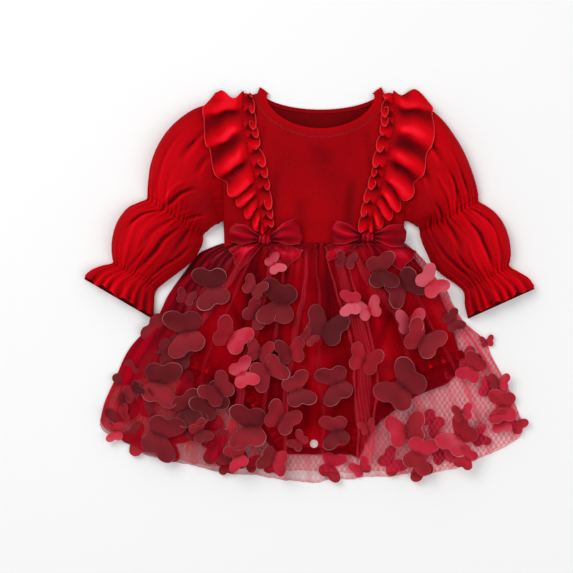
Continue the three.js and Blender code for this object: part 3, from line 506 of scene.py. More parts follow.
# Velvet colours from painted shade at 0 to painted highlight at 1, then the painted highlight along edges.
VELVET_STOPS = ramp_stops(
    (0.0, (0.05, 0.0, 0.001)), (0.3, (0.2, 0.0, 0.002)), (0.55, (0.42, 0.0, 0.003)),
    (0.8, (0.68, 0.0, 0.006)), (1.0, (0.92, 0.01, 0.025)),
)
VELVET_RIM_HIGHLIGHT = colour(0.93, 0.05, 0.06)
# Satin colours from painted shade at 0 to painted highlight at 1, then the painted highlight along edges.
SATIN_STOPS = ramp_stops(
    (0.0, (0.06, 0.0, 0.002)), (0.35, (0.2, 0.0, 0.004)), (0.65, (0.4, 0.0, 0.01)),
    (0.88, (0.62, 0.01, 0.03)), (1.0, (0.86, 0.14, 0.18)),
)
SATIN_RIM_HIGHLIGHT = colour(0.85, 0.16, 0.18)
WING_STOPS = ramp_stops(
    (0.0, (0.09, 0.004, 0.007)), (0.35, (0.2, 0.008, 0.014)), (0.6, (0.36, 0.011, 0.022)),
    (0.78, (0.52, 0.014, 0.04)), (1.0, (0.62, 0.085, 0.12)),
)
# The pale colour of the wings' cut edges and of their painted highlight.
WING_EDGE = colour(0.8, 0.36, 0.36)
SNAP_STOPS = ramp_stops((0.3, (1.0, 0.84, 0.84)), (0.8, (1.0, 0.95, 0.94)))
THREAD_STOPS = ramp_stops((0.2, (0.2, 0.0, 0.005)), (0.8, (0.45, 0.01, 0.02)))
FRONT_ON_VELVET = ramp_stops(
    (0.1, (0.2, 0.0, 0.004)), (0.45, (0.28, 0.002, 0.008)), (0.9, (0.4, 0.014, 0.026)),
)
BACK_ON_FLOOR = ramp_stops((0.0, (0.5, 0.01, 0.03)), (1.0, (0.42, 0.005, 0.02)))

velvet = velvet_finish()
satin = satin_finish()
front_net_cloth = net_finish("net_front", clear=0.33, body=0.52, moire=0.36, over_velvet=FRONT_ON_VELVET)
back_net_cloth = net_finish("net_back", clear=0.3, body=0.4, moire=0.12, over_velvet=BACK_ON_FLOOR)
wing_cloth = wing_finish()
snap_plastic = speckled_finish("snap", roughness=0.25, scale=500.0, stops=SNAP_STOPS)
thread = speckled_finish("thread", roughness=0.5, scale=3000.0, stops=THREAD_STOPS)


# Bodice
NECK_COUNT, PER_SHOULDER = 61, 14  # points along the neck and along each shoulder


def neck_line(drop, count=NECK_COUNT):
    turn = np.linspace(0, math.pi, count)
    x = NECK["x"] - NECK["half"] * np.cos(turn)
    y = NECK["tip"] - drop * power(np.sin(turn), 1.15)
    return np.stack([x, y], 1)


def level_line(half, y, count):
    return np.stack([np.linspace(-half, half, count), np.full(count, y)], 1)


def panel(lower, upper, rows):
    v = np.linspace(0, 1, rows)[:, None, None]
    return lower[None] * (1 - v) + upper[None] * v


def side_lift(across, e=0.45):
    return power(np.sin(math.pi * np.clip(across, 0, 1)), e)


BODICE_CREASES = table(
    ["x0", "y0", "x1", "y1", "half", "depth"],
    [
        (-52, 8, -44, 96, 9, 1.0), (38, 6, 47, 84, 10, 1.1), (-14, 4, -18, 58, 12, 0.7),
        (60, 150, 76, 60, 9, 0.8), (-60, 150, -76, 60, 9, 0.8), (-6, 118, 26, 96, 14, 0.6),
    ],
)


def crease_relief(x, y, creases):
    """Soft troughs (depth above 0) or ridges (below 0) along lines, ending softly."""
    total = np.zeros_like(x)
    for row in creases:
        dx, dy = row["x1"] - row["x0"], row["y1"] - row["y0"]
        length = math.hypot(dx, dy)
        along = ((x - row["x0"]) * dx + (y - row["y0"]) * dy) / length**2
        bend = row.get("bend", 0) * np.sin(math.pi * np.clip(along, 0, 1))
        aside = ((x - row["x0"]) * -dy + (y - row["y0"]) * dx) / length - bend
        ends = smoothstep(along / 0.25) * smoothstep((1 - along) / 0.25)
        total -= row["depth"] * ends * bump(aside, row["half"])
    return total


def bodice():
    rows = BODICE_ROWS
    made = []
    for name, drop in (("bodice_back", NECK["back"]), ("bodice_front", NECK["front"])):
        neck = neck_line(drop)
        steps = np.linspace(0, 1, PER_SHOULDER, endpoint=False)[:, None]
        left = np.array([-SHOULDER[0], SHOULDER[1]]) * (1 - steps) + neck[0] * steps
        right = np.array(SHOULDER) * (1 - steps) + neck[-1] * steps
        upper = np.concatenate([left, neck, right[::-1]])
        lower = level_line(WAIST_HALF, WAIST_GAP, len(upper))
        flat = panel(lower, upper, rows)
        if name == "bodice_back":
            grid = with_height(flat, BACK_TOP)
            under = with_height(flat, 0.0)
            # painted shade: the back panel is painted darker all over, as shade where it shows inside the
            # neck
            made.append(wall_piece(name + "_cloth", grid, under, velvet, np.full(flat.shape[:2], -0.6)))
            continue
        along, across = shares(rows, len(upper))
        neck_share = np.clip((np.arange(len(upper)) - PER_SHOULDER) / (len(neck) - 1), 0, 1)[None]
        openness = power(np.sin(math.pi * neck_share), 0.6)
        armhole = 0.85 * power(np.sin(math.pi * np.clip(along * 1.12 - 0.12, 0, 1)), 0.5)
        side = np.maximum(side_lift(across), armhole)
        lift = side * (1 - along**3) + side_lift(across) * openness * along**3
        relief = crease_relief(flat[..., 0], flat[..., 1], BODICE_CREASES)
        relief = relief + 0.25 * ripple(flat[..., 0] * 0.06 + flat[..., 1] * 0.03, 3)
        quiet = smoothstep(np.minimum(across, 1 - across) / 0.08) * smoothstep((1 - along) / 0.12)
        relief = relief * quiet
        z = FRONT_TOP + BODY_LOFT * lift + relief
        grid = with_height(flat, z)
        # Painted light and shade: creases darker, ridges lighter, and the whole panel a little darker.
        made.append(sheet_wall(name + "_cloth", grid, VELVET, velvet, relief * 0.22 - 0.14))
    return made


def ring_sweep(name, sections, material, fold, closed=True):
    """A solid through sections that all have the same number of points."""
    sections = np.asarray(sections)
    count, sides = sections.shape[:2]
    number = np.arange(count * sides).reshape(count, sides)
    if closed:
        number = np.concatenate([number, number[:1]])
    a, b = number[:-1], number[1:]
    faces = np.stack([a, b, np.roll(b, -1, 1), np.roll(a, -1, 1)], -1).reshape(-1, 4)
    points = sections.reshape(-1, 3)
    if not closed:
        half = sides // 2
        caps = []
        for end, flip in ((number[0], False), (number[-1], True)):
            for k in range(half - 1):
                face = [end[k], end[k + 1], end[sides - 2 - k], end[sides - 1 - k]]
                caps.append(face[::-1] if flip else face)
        faces = np.concatenate([faces, np.array(caps)])
    if signed_volume(points, faces) < 0:
        faces = faces[:, ::-1]
    return make_piece(name, points, faces, material, {"fold": fold})


BAND_POINTS = 15


def band_section(seam, across, outwards, width):
    """A folded band's section: flat inside, rounded outside, with two rows of stitching pressed in."""
    steps = np.linspace(0, 1, BAND_POINTS)
    top = 0.86 + 0.14 * np.sin(math.pi * steps) ** 0.5
    for row in (0.14, 0.42):
        top = top - 0.2 * bump(steps - row, 0.07)
    out = [seam + across * width * s + outwards * h for s, h in zip(steps, top)]
    inside = [seam + across * width * s + outwards * 0.05 for s in steps[::-1]]
    return np.array(out + inside)


NECK_OVERLAP = 0.25
NECK_TIP_RISE = 6.0
NECK_TIP_STEPS = (0.2, 0.35, 0.5, 0.65, 0.8)
BINDING_COUNT = 121


def neck_binding():
    count = BINDING_COUNT
    front, back = neck_line(NECK["front"], count), neck_line(NECK["back"], count)[2:-2]
    front_in, back_in = left_of(front), left_of(neck_line(NECK["back"], count))[2:-2]
    across = np.linspace(0, 1, count)
    openness = power(np.sin(math.pi * across), 0.6)
    panel_share = (PER_SHOULDER + across * (NECK_COUNT - 1)) / (2 * PER_SHOULDER + NECK_COUNT - 1)
    z = FRONT_TOP + BODY_LOFT * side_lift(panel_share) * openness - VELVET
    narrow = 0.78 + 0.6 * np.abs(2 * across - 1) ** 5
    sections, folds = [], []
    for k in range(count):
        seam = np.array([*(front[k] - front_in[k] * NECK_OVERLAP), z[k]])
        inward = np.array([*front_in[k], 0])
        sections.append(band_section(seam, inward, np.array([0, 0, 2.5]), NECK["band"] * narrow[k]))
        folds.append(0.02)

    def turn(side, steps):
        tip = np.array([NECK["x"] + side * NECK["half"], NECK["tip"]])
        for t in steps:
            angle = math.pi * t
            lean = math.sin(angle)
            seam = np.array([tip[0] - side * 3 * lean, tip[1] + NECK_TIP_RISE * lean, 1.9 - 0.3 * t])
            outwards = np.array([0, lean, math.cos(angle)]) * 2.2
            wide = NECK["band"] * (1.38 - 0.88 * t)
            slant = np.array([-side, -0.7 * lean, 0]) / math.hypot(1, 0.7 * lean)
            sections.append(band_section(seam, slant, outwards, wide))
            folds.append(0.06)

    turn(1, NECK_TIP_STEPS)
    for k in reversed(range(len(back))):
        seam = np.array([*(back[k] - back_in[k] * NECK_OVERLAP), BACK_TOP])
        inward = np.array([*back_in[k], 0])
        sections.append(band_section(seam, inward, np.array([0, 0, -1.6]), NECK["band"] * 0.5))
        # painted shade: the back band, inside the neck, is painted darker
        folds.append(-0.25)
    turn(-1, NECK_TIP_STEPS[::-1])
    fold = np.repeat(np.array(folds)[:, None], 2 * BAND_POINTS, 1)
    return ring_sweep("neck_binding_cloth", sections, velvet, fold)


# Sleeves
SLEEVE_COLUMNS = ["ox", "oy", "ix", "iy", "height"]
SLEEVES = {
    "left": table(
        SLEEVE_COLUMNS,
        [
            (-113.9, 169, -108.9, 26, 10), (-139, 163, -112, 25, 23), (-158, 152, -114, 23, 31),
            (-175, 136, -118, 22, 35), (-188, 116, -121, 20, 35), (-196, 95, -125, 17, 31),
            (-199, 75, -128, 14, 23), (-200, 61, -131, 12, 16), (-201, 53, -133, 9, 13),
            (-210, 49, -133, 5, 18), (-224, 42, -134, -2, 26), (-236, 26, -138, -10, 32),
            (-242, 7, -144, -20, 33), (-243, -8, -158, -32, 27), (-242, -18, -177, -46, 17),
            (-242, -24, -187, -54, 12), (-254, -27, -191, -62, 13), (-266, -32, -192, -72, 16),
            (-275, -40, -193, -88, 19),
        ],
    ),
    "right": table(
        SLEEVE_COLUMNS,
        [
            (113.9, 169, 108.9, 26, 10), (138, 161, 113, 26, 23), (155, 147, 116, 24, 31),
            (169, 128, 120, 22, 35), (180, 109, 122, 20, 35), (188, 90, 125, 19, 31),
            (194, 72, 126, 17, 23), (197, 58, 127, 15, 16), (198, 50, 127, 12, 13), (206, 45, 128, 6, 18),
            (218, 36, 131, -3, 26), (228, 22, 136, -14, 32), (234, 5, 143, -28, 33),
            (236, -11, 156, -40, 27), (235, -22, 171, -50, 17), (235, -28, 179, -57, 12),
            (246, -35, 181, -65, 13), (257, -42, 181, -74, 16), (264, -52, 184, -88, 19),
        ],
    ),
}
ELBOW, WRIST, CUFF_END = 7.6, 14.7, 18.0
# Where each row of elastic or stitching pulls the cloth in: the row, its half width and its depth.
PINCHES = [(7.2, 0.25, 0.9), (7.9, 0.25, 0.9), (14.5, 0.2, 0.8), (15.0, 0.2, 0.8), (17.6, 0.1, 0.6)]
SLEEVE_FOLD_COLUMNS = ["row0", "share0", "row1", "share1", "half", "depth"]
SLEEVE_FOLDS = {
    "left": table(
        SLEEVE_FOLD_COLUMNS,
        [
            (3.0, 0.62, 7.6, 0.3, 0.05, 3.4), (3.6, 0.5, 7.6, 0.2, 0.05, -1.6),
            (4.2, 0.85, 7.6, 0.62, 0.05, 2.8), (5.0, 0.72, 7.6, 0.5, 0.04, -1.4),
            (0.4, 0.2, 3.2, 0.3, 0.06, 2.4), (0.4, 0.42, 2.6, 0.5, 0.06, 2.0),
            (2.2, 0.12, 6.8, 0.14, 0.05, 1.8), (7.8, 0.3, 11.5, 0.12, 0.05, 3.0),
            (7.8, 0.55, 12.5, 0.34, 0.06, 2.2), (9.0, 0.66, 14.6, 0.45, 0.06, 3.2),
            (8.0, 0.8, 12.0, 0.74, 0.05, 2.2), (10.6, 0.9, 14.6, 0.7, 0.05, 2.6),
            (10.0, 0.2, 14.6, 0.22, 0.05, -1.4), (11.4, 0.46, 14.6, 0.3, 0.04, 2.0),
        ],
    ),
    "right": table(
        SLEEVE_FOLD_COLUMNS,
        [
            (3.6, 0.3, 7.6, 0.35, 0.05, 2.8), (4.2, 0.66, 7.6, 0.6, 0.05, 2.8),
            (2.6, 0.44, 7.0, 0.46, 0.05, -1.5), (0.4, 0.24, 3.0, 0.3, 0.06, 2.4),
            (0.4, 0.5, 2.8, 0.56, 0.06, 2.0), (3.0, 0.14, 7.2, 0.16, 0.05, 2.0),
            (5.0, 0.8, 7.6, 0.82, 0.04, 2.0), (7.8, 0.35, 14.6, 0.3, 0.05, 3.2),
            (7.8, 0.55, 12.0, 0.62, 0.05, 2.6), (8.0, 0.2, 11.0, 0.12, 0.05, 2.6),
            (9.5, 0.12, 14.6, 0.16, 0.04, 2.4), (10.0, 0.85, 14.6, 0.7, 0.05, 2.6),
            (10.0, 0.5, 14.6, 0.52, 0.04, -1.4), (11.0, 0.68, 14.6, 0.6, 0.04, 2.0),
        ],
    ),
}


def sleeve_profile(angle, height):
    """The flattened tube's outline at an angle: the share across, and the height."""
    edge = np.minimum(0.35 * height, 7)
    rise = np.sin(angle)
    across = (1 - np.cos(angle)) / 2
    top = edge + (height - edge) * power(rise, 0.8)
    under = edge * power(1 + 2 * np.minimum(rise, 0), 2)
    return across + 0 * height, np.where(rise >= 0, top, under)


def gather(share, away, seed, count, reach):
    """Pleats that run from a row of elastic, each with its own width, depth and length."""
    uneven = ripple(share * 23, seed) * 1.1
    phase = 2 * math.pi * count * share + uneven
    crest = np.abs(np.cos(phase / 2)) ** 0.8 * 2 - 1.1
    length = reach * (1 + 0.55 * ripple(share * 31 + 2, seed + 1))
    fade = np.exp(-power(np.abs(away) / np.maximum(length, 0.25), 1.3))
    depth = 1 + 0.35 * ripple(share * 17 + 5, seed + 2)
    return crest * fade * depth


SLEEVE_ROWS, SLEEVE_TOP_STEPS, SLEEVE_UNDER_STEPS = 190, 150, 32
# Gathers: height, the row they start at, seed step, number across and reach in rows
SLEEVE_GATHERS = (
    (1.9, ELBOW, 20, 15, 1.5), (0.6, ELBOW, 21, 9, 3.0), (1.7, WRIST, 30, 14, 1.2),
    (0.6, WRIST, 31, 10, 2.4), (0.8, 0, 40, 12, 0.9),
)


def sleeve(side, seed):
    keys = np.stack([column(SLEEVES[side], name) for name in SLEEVE_COLUMNS], 1)
    s = np.linspace(0, CUFF_END, SLEEVE_ROWS)
    keyed = catmull(keys, s)
    top_angles = np.linspace(0, math.pi, SLEEVE_TOP_STEPS)
    under_angles = np.linspace(math.pi, 2 * math.pi, SLEEVE_UNDER_STEPS)[1:-1]
    angles = np.r_[top_angles, under_angles][None, :]
    height = keyed[:, 4][:, None]
    row = s[:, None]
    share, z = sleeve_profile(angles, height)
    on_top = power(np.sin(np.clip(angles, 0, math.pi)), 0.5)
    fold = np.zeros_like(z)
    for k, crease in enumerate(SLEEVE_FOLDS[side]):
        along = (row - crease["row0"]) / (crease["row1"] - crease["row0"])
        inside = (along > 0) & (along < 1)
        middle = crease["share0"] + (crease["share1"] - crease["share0"]) * along
        middle = middle + 0.012 * ripple(row * 1.3, seed + k)
        ends = power(np.sin(math.pi * np.clip(along, 0, 1)), 0.7) * inside
        half = crease["half"] * (0.5 + 0.6 * along)
        fold -= 0.85 * crease["depth"] * ends * bump(share - middle, half)
        fold += 0.55 * crease["depth"] * ends * bump(share - middle - 1.2 * half, half)
    for height_mm, at, step, count, reach in SLEEVE_GATHERS:
        fold += height_mm * gather(share, row - at, seed + step, count, reach)
    flare = smoothstep((row - WRIST) / (CUFF_END - WRIST))
    wave = np.sin(2 * math.pi * 7.5 * share + 1.2 * ripple(share * 12, seed + 5) + 0.6)
    fold += 2.0 * flare * wave
    pinch = np.zeros_like(row)
    for at, half, depth in PINCHES:
        pinch = pinch + depth * bump(row - at, half)
    relief = (fold - pinch) * on_top * smoothstep(row / 0.4)
    relief = relief + 0.35 * ripple(share * 9 + row * 0.8, seed + 9) * on_top
    start = keyed[:, :2]
    across = keyed[:, 2:4] - start
    width = np.linalg.norm(across, axis=1)[:, None]
    unit = across / width
    flat_x = share * width
    out_x = np.roll(z, 1, 1) - np.roll(z, -1, 1)
    out_z = np.roll(flat_x, 1, 1) - np.roll(flat_x, -1, 1)
    size = np.maximum(np.hypot(out_x, out_z), 1e-6)
    out_x, out_z = out_x / size, -out_z / size
    facing = np.sign((out_z * np.sin(angles)).sum())
    out_x, out_z = out_x * facing, out_z * facing

    middle_line = start + unit * width / 2
    axis = np.gradient(middle_line, axis=0)
    axis /= np.linalg.norm(axis, axis=1)[:, None]
    mouth = 1.5 * np.sin(2 * math.pi * 3.2 * share + seed) + 1.2 * np.sin(2 * math.pi * 6.7 * share)
    mouth = np.where(angles > math.pi, 3.5, mouth) * flare**4

    def spot(px, pz):
        plan = start[:, None] + unit[:, None] * px[..., None] + axis[:, None] * mouth[..., None]
        return with_height(plan, pz)

    outer = spot(flat_x + out_x * relief, np.maximum(z + out_z * relief, 0))
    inner = spot(flat_x - out_x * VELVET, z - out_z * VELVET)
    inner[..., 2] = np.maximum(inner[..., 2], outer[..., 2].min() + 0.4)
    # Painted light: creases and the elastic's pinched rows darker, ridges lighter, a painted sheen lighter
    # across one side of the top and darker across the other, and the whole sleeve a little darker.
    painted_sheen = 0.3 * np.cos(math.pi * np.clip(share * 1.25 - 0.3, -1, 1)) * smoothstep(row / 2)
    shade = np.clip(relief * 0.24, -0.7, 0.7) + painted_sheen * on_top - 0.06
    return wall_piece(f"sleeve_{side}_cloth", outer, inner, velvet, shade, rounds=True)


# Romper bottom
LEG_EDGES = {
    ("front", "left"): [(-161, -145), (-128, -157), (-96, -175), (-76, -195), (-58, -221), (-40, -250)],
    ("front", "right"): [
        (176, -139), (150, -146), (122, -159), (94, -175), (70, -197), (58, -221), (48, -250)
    ],
    ("back", "left"): [(-161, -148), (-146, -172), (-112, -192), (-82, -212), (-61, -232), (-44, -259)],
    ("back", "right"): [(176, -142), (164, -166), (128, -182), (96, -202), (73, -222), (54, -259)],
}
LEG_BAND_WIDTH = 10.0
LEG_COUNT, CROTCH_COUNT = 60, 16
ROMPER_HALF = 105.5
ROMPER_BULGE = {"left": 18.0, "right": 12.0}
ROMPER_BACK_TOP = NET_TOP + VELVET
ROMPER_CREASES = table(
    ["x0", "y0", "x1", "y1", "half", "depth", "bend"],
    [
        (-70, -8, -96, -120, 10, 1.6, 6), (-30, -6, -42, -150, 12, 1.4, -5), (16, -8, 10, -140, 11, 1.5, 6),
        (58, -6, 78, -130, 10, 1.7, -6), (-110, -60, -60, -180, 9, 1.3, 8),
        (112, -50, 66, -176, 9, 1.4, -8), (-16, -150, -8, -232, 9, 1.2, 3),
        (30, -140, 22, -226, 9, 1.1, -3),
    ],
)


def romper_panel(layer, rows):
    edges = {side: smooth_line(LEG_EDGES[(layer, side)], LEG_COUNT) for side in ("left", "right")}
    seams = {
        "left": edges["left"] + left_of(edges["left"]) * LEG_BAND_WIDTH,
        "right": edges["right"] - left_of(edges["right"]) * LEG_BAND_WIDTH,
    }
    steps = np.linspace(0, 1, CROTCH_COUNT)[1:-1, None]
    crotch = seams["left"][-1] * (1 - steps) + seams["right"][-1] * steps
    lower = np.concatenate([seams["left"], crotch, seams["right"][::-1]])
    upper = level_line(ROMPER_HALF, -WAIST_GAP, len(lower))
    flat = panel(lower, upper, rows)
    along, across = shares(rows, len(lower))
    side = 2 * across - 1
    bulge = np.where(side < 0, ROMPER_BULGE["left"], ROMPER_BULGE["right"])
    flat[..., 0] += np.sign(side) * side**2 * bulge * np.sin(math.pi * along)
    return flat, across, along, seams


def romper():
    rows = ROMPER_ROWS
    flat, across, along, seams = romper_panel("front", rows)
    count = flat.shape[1]
    index = np.arange(count)
    leg_share = np.minimum(index, count - 1 - index) / (LEG_COUNT - 1)
    open_leg = np.where(leg_share < 1, power(np.sin(math.pi * np.minimum(leg_share, 1)), 0.7), 0)[None]
    blend = np.minimum(1, along * 2.5) ** 0.8
    lift = open_leg * (1 - blend) + side_lift(across) * blend
    relief = crease_relief(flat[..., 0], flat[..., 1], ROMPER_CREASES)
    gathers = gather(across, (1 - along) * 6, 61, 26, 1.0) * 1.1
    relief = (relief + gathers) * smoothstep(np.minimum(across, 1 - across) / 0.07) * smoothstep(along / 0.1)
    z = ROMPER_TOP + ROMPER_LOFT * lift + relief * smoothstep((1 - along) / 0.05)
    x, y = flat[..., 0], flat[..., 1]
    # Painted light and shade: broad lighter and darker patches as on large soft folds, creases darker and
    # ridges lighter, and the whole panel lighter.
    broad_light_and_shade = ripple(x * 0.055 + 0.012 * y, 66) + 0.6 * ripple(y * 0.05 + x * 0.02 + 1, 67)
    front = sheet_wall(
        "romper_front_cloth", with_height(flat, z), VELVET, velvet, relief * 0.5 + 0.5 * broad_light_and_shade + 0.3
    )
    back_flat, _, _, back_seams = romper_panel("back", 40)
    # painted shade: the back panel is painted darker all over, where it shows through the leg openings
    back = wall_piece(
        "romper_back_cloth",
        with_height(back_flat, ROMPER_BACK_TOP),
        with_height(back_flat, NET_TOP),
        velvet,
        np.full(back_flat.shape[:2], -0.3),
    )
    heights = {"left": z[0, :LEG_COUNT], "right": z[0, -LEG_COUNT:][::-1]}
    bands = [leg_band(side, seams[side], heights[side], back_seams[side]) for side in ("left", "right")]
    return front, back, bands


def leg_band(side, front_seam, heights, back_seam):
    outwards = -1 if side == "left" else 1
    width = LEG_BAND_WIDTH - SEAM
    sections, folds = [], []
    front_across = left_of(front_seam) * outwards
    share = np.linspace(0, 1, LEG_COUNT)
    gathers = np.sin(2 * math.pi * 20 * share + 1.1 * ripple(share * 25, 71))
    for k in reversed(range(LEG_COUNT)):
        seam = np.array([*(front_seam[k] + front_across[k] * SEAM), heights[k] - VELVET])
        inward = np.array([*front_across[k], 0])
        sections.append(band_section(seam, inward, np.array([0, 0, 2.5 + 0.45 * gathers[k]]), width))
        # painted light and shade on the band's gathers
        folds.append(0.5 * gathers[k])
    hip = front_seam[0]
    for lean in (-0.4, 0.0, 0.4):
        seam = np.array([hip[0] + outwards * (3 - abs(lean)), hip[1] + lean * -2, ROMPER_BACK_TOP + 0.15])
        seam[2] += -lean * 1.5
        inward = np.array([outwards * 0.33, -0.94, 0])
        facing = np.array([outwards * 2.2 * (1 - abs(lean)), 0, -lean * 4.5])
        sections.append(band_section(seam, inward, facing, width))
        folds.append(0.0)
    back_across = left_of(back_seam) * outwards
    for k in range(LEG_COUNT):
        seam = np.array([*(back_seam[k] + back_across[k] * SEAM), ROMPER_BACK_TOP])
        inward = np.array([*back_across[k], 0])
        sections.append(band_section(seam, inward, np.array([0, 0, -VELVET]), width))
        # painted shade: the back half of the band, underneath, is painted darker
        folds.append(-0.3)
    fold = np.repeat(np.array(folds)[:, None], 2 * BAND_POINTS, 1)
    return ring_sweep(f"leg_band_{side}_cloth", sections, velvet, fold, closed=False)


SNAP = {"x": 0.0, "y": -241.0, "sides": 64}
# Radius and height of each ring, from the foot over the rim, the groove and the crown to the middle
SNAP_RINGS = (
    (4.6, 0), (5.0, 0.25), (5.0, 0.8), (4.7, 1.15), (4.0, 1.3), (3.5, 1.05), (3.1, 1.15),
    (2.7, 1.7), (2.2, 1.9), (1.5, 1.9), (1.0, 1.6), (0.5, 1.45), (0.02, 1.4),
)


def snap(base):
    """One half of a press stud: a rim, a ring groove and a dimpled crown."""
    sides = SNAP["sides"]
    turn = np.linspace(0, 2 * math.pi, sides, endpoint=False)
    rings = [
        np.stack([SNAP["x"] + r * np.cos(turn), SNAP["y"] + r * np.sin(turn), np.full(sides, base + z)], 1)
        for r, z in SNAP_RINGS
    ]
    points = np.concatenate(rings)
    faces = quads(len(rings), sides, rounds=True)
    return make_piece("snap_stud", points, faces, snap_plastic)


# Net skirt
SKIRT_SIDES = {
    "left": [
        (-110, -0.15), (-137, -12), (-155, -34), (-175, -62), (-190, -91),
        (-222, -127), (-239, -163), (-252, -192), (-258, -218),
    ],
    "right": [
        (110, -0.15), (124, -12), (137, -26), (146, -41), (160, -57), (167, -73),
        (181, -95), (206, -117), (214, -136), (232, -170), (246, -203), (253, -221),
    ],
}
BACK_HEM = [
    (-258, -218), (-251, -228), (-224, -242), (-194, -257), (-132, -271), (-89, -278), (-4, -287),
    (83, -280), (144, -277), (188, -264), (221, -250), (246, -235), (253, -221),
]
HEM_SETBACK = {"y": 2.5, "middle": 11.0, "reach": 165.0, "share": 0.99}
FRONT_SIDE_SHARE = 0.985
NET_FOLDS = 23
SKIRT_LOFT = 9.5
# Where the net doubles over itself: a line from the waist to the hem, its half width and its strength.
DENSE_FOLDS = table(
    ["line", "half", "strength"],
    [
        ([(-50, -3), (-62, -71), (-71, -108), (-87, -160), (-94, -208), (-120, -257)], 8, 0.85),
        ([(-8, -3), (-13, -53), (-23, -119), (-33, -170), (-35, -222), (-33, -270)], 6, 0.75),
        ([(20, -3), (29, -24), (43, -67), (57, -119), (61, -170), (61, -212), (61, -264)], 13, 0.62),
        ([(12, -3), (22, -40), (40, -100), (50, -170), (52, -262)], 2.6, 0.95),
        ([(30, -3), (44, -40), (66, -100), (74, -170), (70, -262)], 2.4, 0.95),
        ([(42, -3), (74, -53), (100, -86), (120, -120)], 9, 0.7),
        ([(-78, -3), (-94, -36), (-112, -62), (-140, -100)], 7, 0.75),
        ([(-64, -3), (-100, -70), (-128, -140), (-150, -250)], 4, 0.45),
        ([(86, -3), (128, -74), (168, -150), (206, -226)], 3.5, 0.5),
        ([(66, -3), (104, -110), (124, -180), (140, -262)], 4.5, 0.5),
        ([(-30, -3), (-44, -90), (-60, -190), (-74, -262)], 4, 0.5),
        ([(4, -3), (6, -90), (8, -180), (14, -270)], 4, 0.5),
        ([(104, -8), (154, -66), (196, -124), (240, -216)], 2.2, 0.8),
        ([(100, -8), (148, -70), (188, -128), (228, -216)], 2.0, 0.6),
        ([(-104, -8), (-158, -50), (-204, -120), (-238, -200)], 7, 0.6),
        ([(-90, -8), (-140, -66), (-186, -136), (-212, -210)], 3, 0.5),
    ],
)

# Where the gathered net lies in several layers beside the hip
UPPER_LEFT = {"line": [(-92, -4), (-140, -40), (-178, -92), (-214, -140)], "half": 44}


def line_bump(x, y, line, half):
    """How near points lie to a line, 1 on it and 0 at half away, with soft ends."""
    points = smooth_line(line, 24)
    best = np.full(x.shape, 1e9)
    place = np.zeros(x.shape)
    for k, (a, b) in enumerate(zip(points[:-1], points[1:])):
        d = b - a
        t = np.clip(((x - a[0]) * d[0] + (y - a[1]) * d[1]) / (d @ d), 0, 1)
        gap = np.hypot(x - a[0] - d[0] * t, y - a[1] - d[1] * t)
        nearer = gap < best
        best = np.where(nearer, gap, best)
        place = np.where(nearer, (k + t) / (len(points) - 1), place)
    ends = smoothstep(place / 0.04) * (0.6 + 0.4 * smoothstep((1 - place) / 0.3))
    widening = 0.45 + 0.65 * smoothstep(place / 0.35)
    return bump(best, half * widening) * ends


def skirt_flat(rows, columns, front):
    share = FRONT_SIDE_SHARE if front else 1.0
    left = smooth_line(SKIRT_SIDES["left"], rows, share)
    right = smooth_line(SKIRT_SIDES["right"], rows, share)
    hem = BACK_HEM
    if front:
        raised = {x: HEM_SETBACK["middle"] * float(bump(x + 20, HEM_SETBACK["reach"])) for x, _ in BACK_HEM}
        inner = [(x * HEM_SETBACK["share"], y + HEM_SETBACK["y"] + raised[x]) for x, y in BACK_HEM[1:-1]]
        hem = [tuple(left[-1]), *inner, tuple(right[-1])]
    top = smooth_line([SKIRT_SIDES["left"][0], SKIRT_SIDES["right"][0]], columns)
    bottom = smooth_line(hem, columns)
    along = np.linspace(0, 1, columns)
    uneven = 1.6 * ripple(along * 38, 83 + front) + 1.1 * ripple(along * 95, 85 + front)
    bottom[:, 1] += uneven * np.sin(math.pi * along) ** 0.4
    return patch_grid(top, bottom, left, right)


def net_piece(name, grid, material, density, dark, over):
    rows, columns = grid.shape[:2]
    faces = quads(rows, columns, flip=True)
    values = {"doubled": density.ravel(), "dark": dark.ravel(), "over": over.ravel()}
    return make_piece(name, grid.reshape(-1, 3), faces, material, values)


def skirt_back():
    rows, columns = BACK_NET_GRID
    flat = skirt_flat(rows, columns, front=False)
    down, across = shares(rows, columns)
    wander = ripple(down * 4 + across * 11, 91) * 0.5
    waves = np.sin(2 * math.pi * 19 * across + wander + ripple(across * 21, 92) * 1.4)
    density = 0.3 + 0.3 * power(waves, 2) * down**0.5 + 0.25 * (1 - down) ** 4
    density = density + 0.5 * smoothstep((down - 0.985) / 0.01) - 0.25 * smoothstep((down - 0.9) / 0.05)
    none = 0 * density
    grid = with_height(flat, 0.75 + 0.3 * waves)
    return net_piece("skirt_back_net", grid, back_net_cloth, density, none, none)


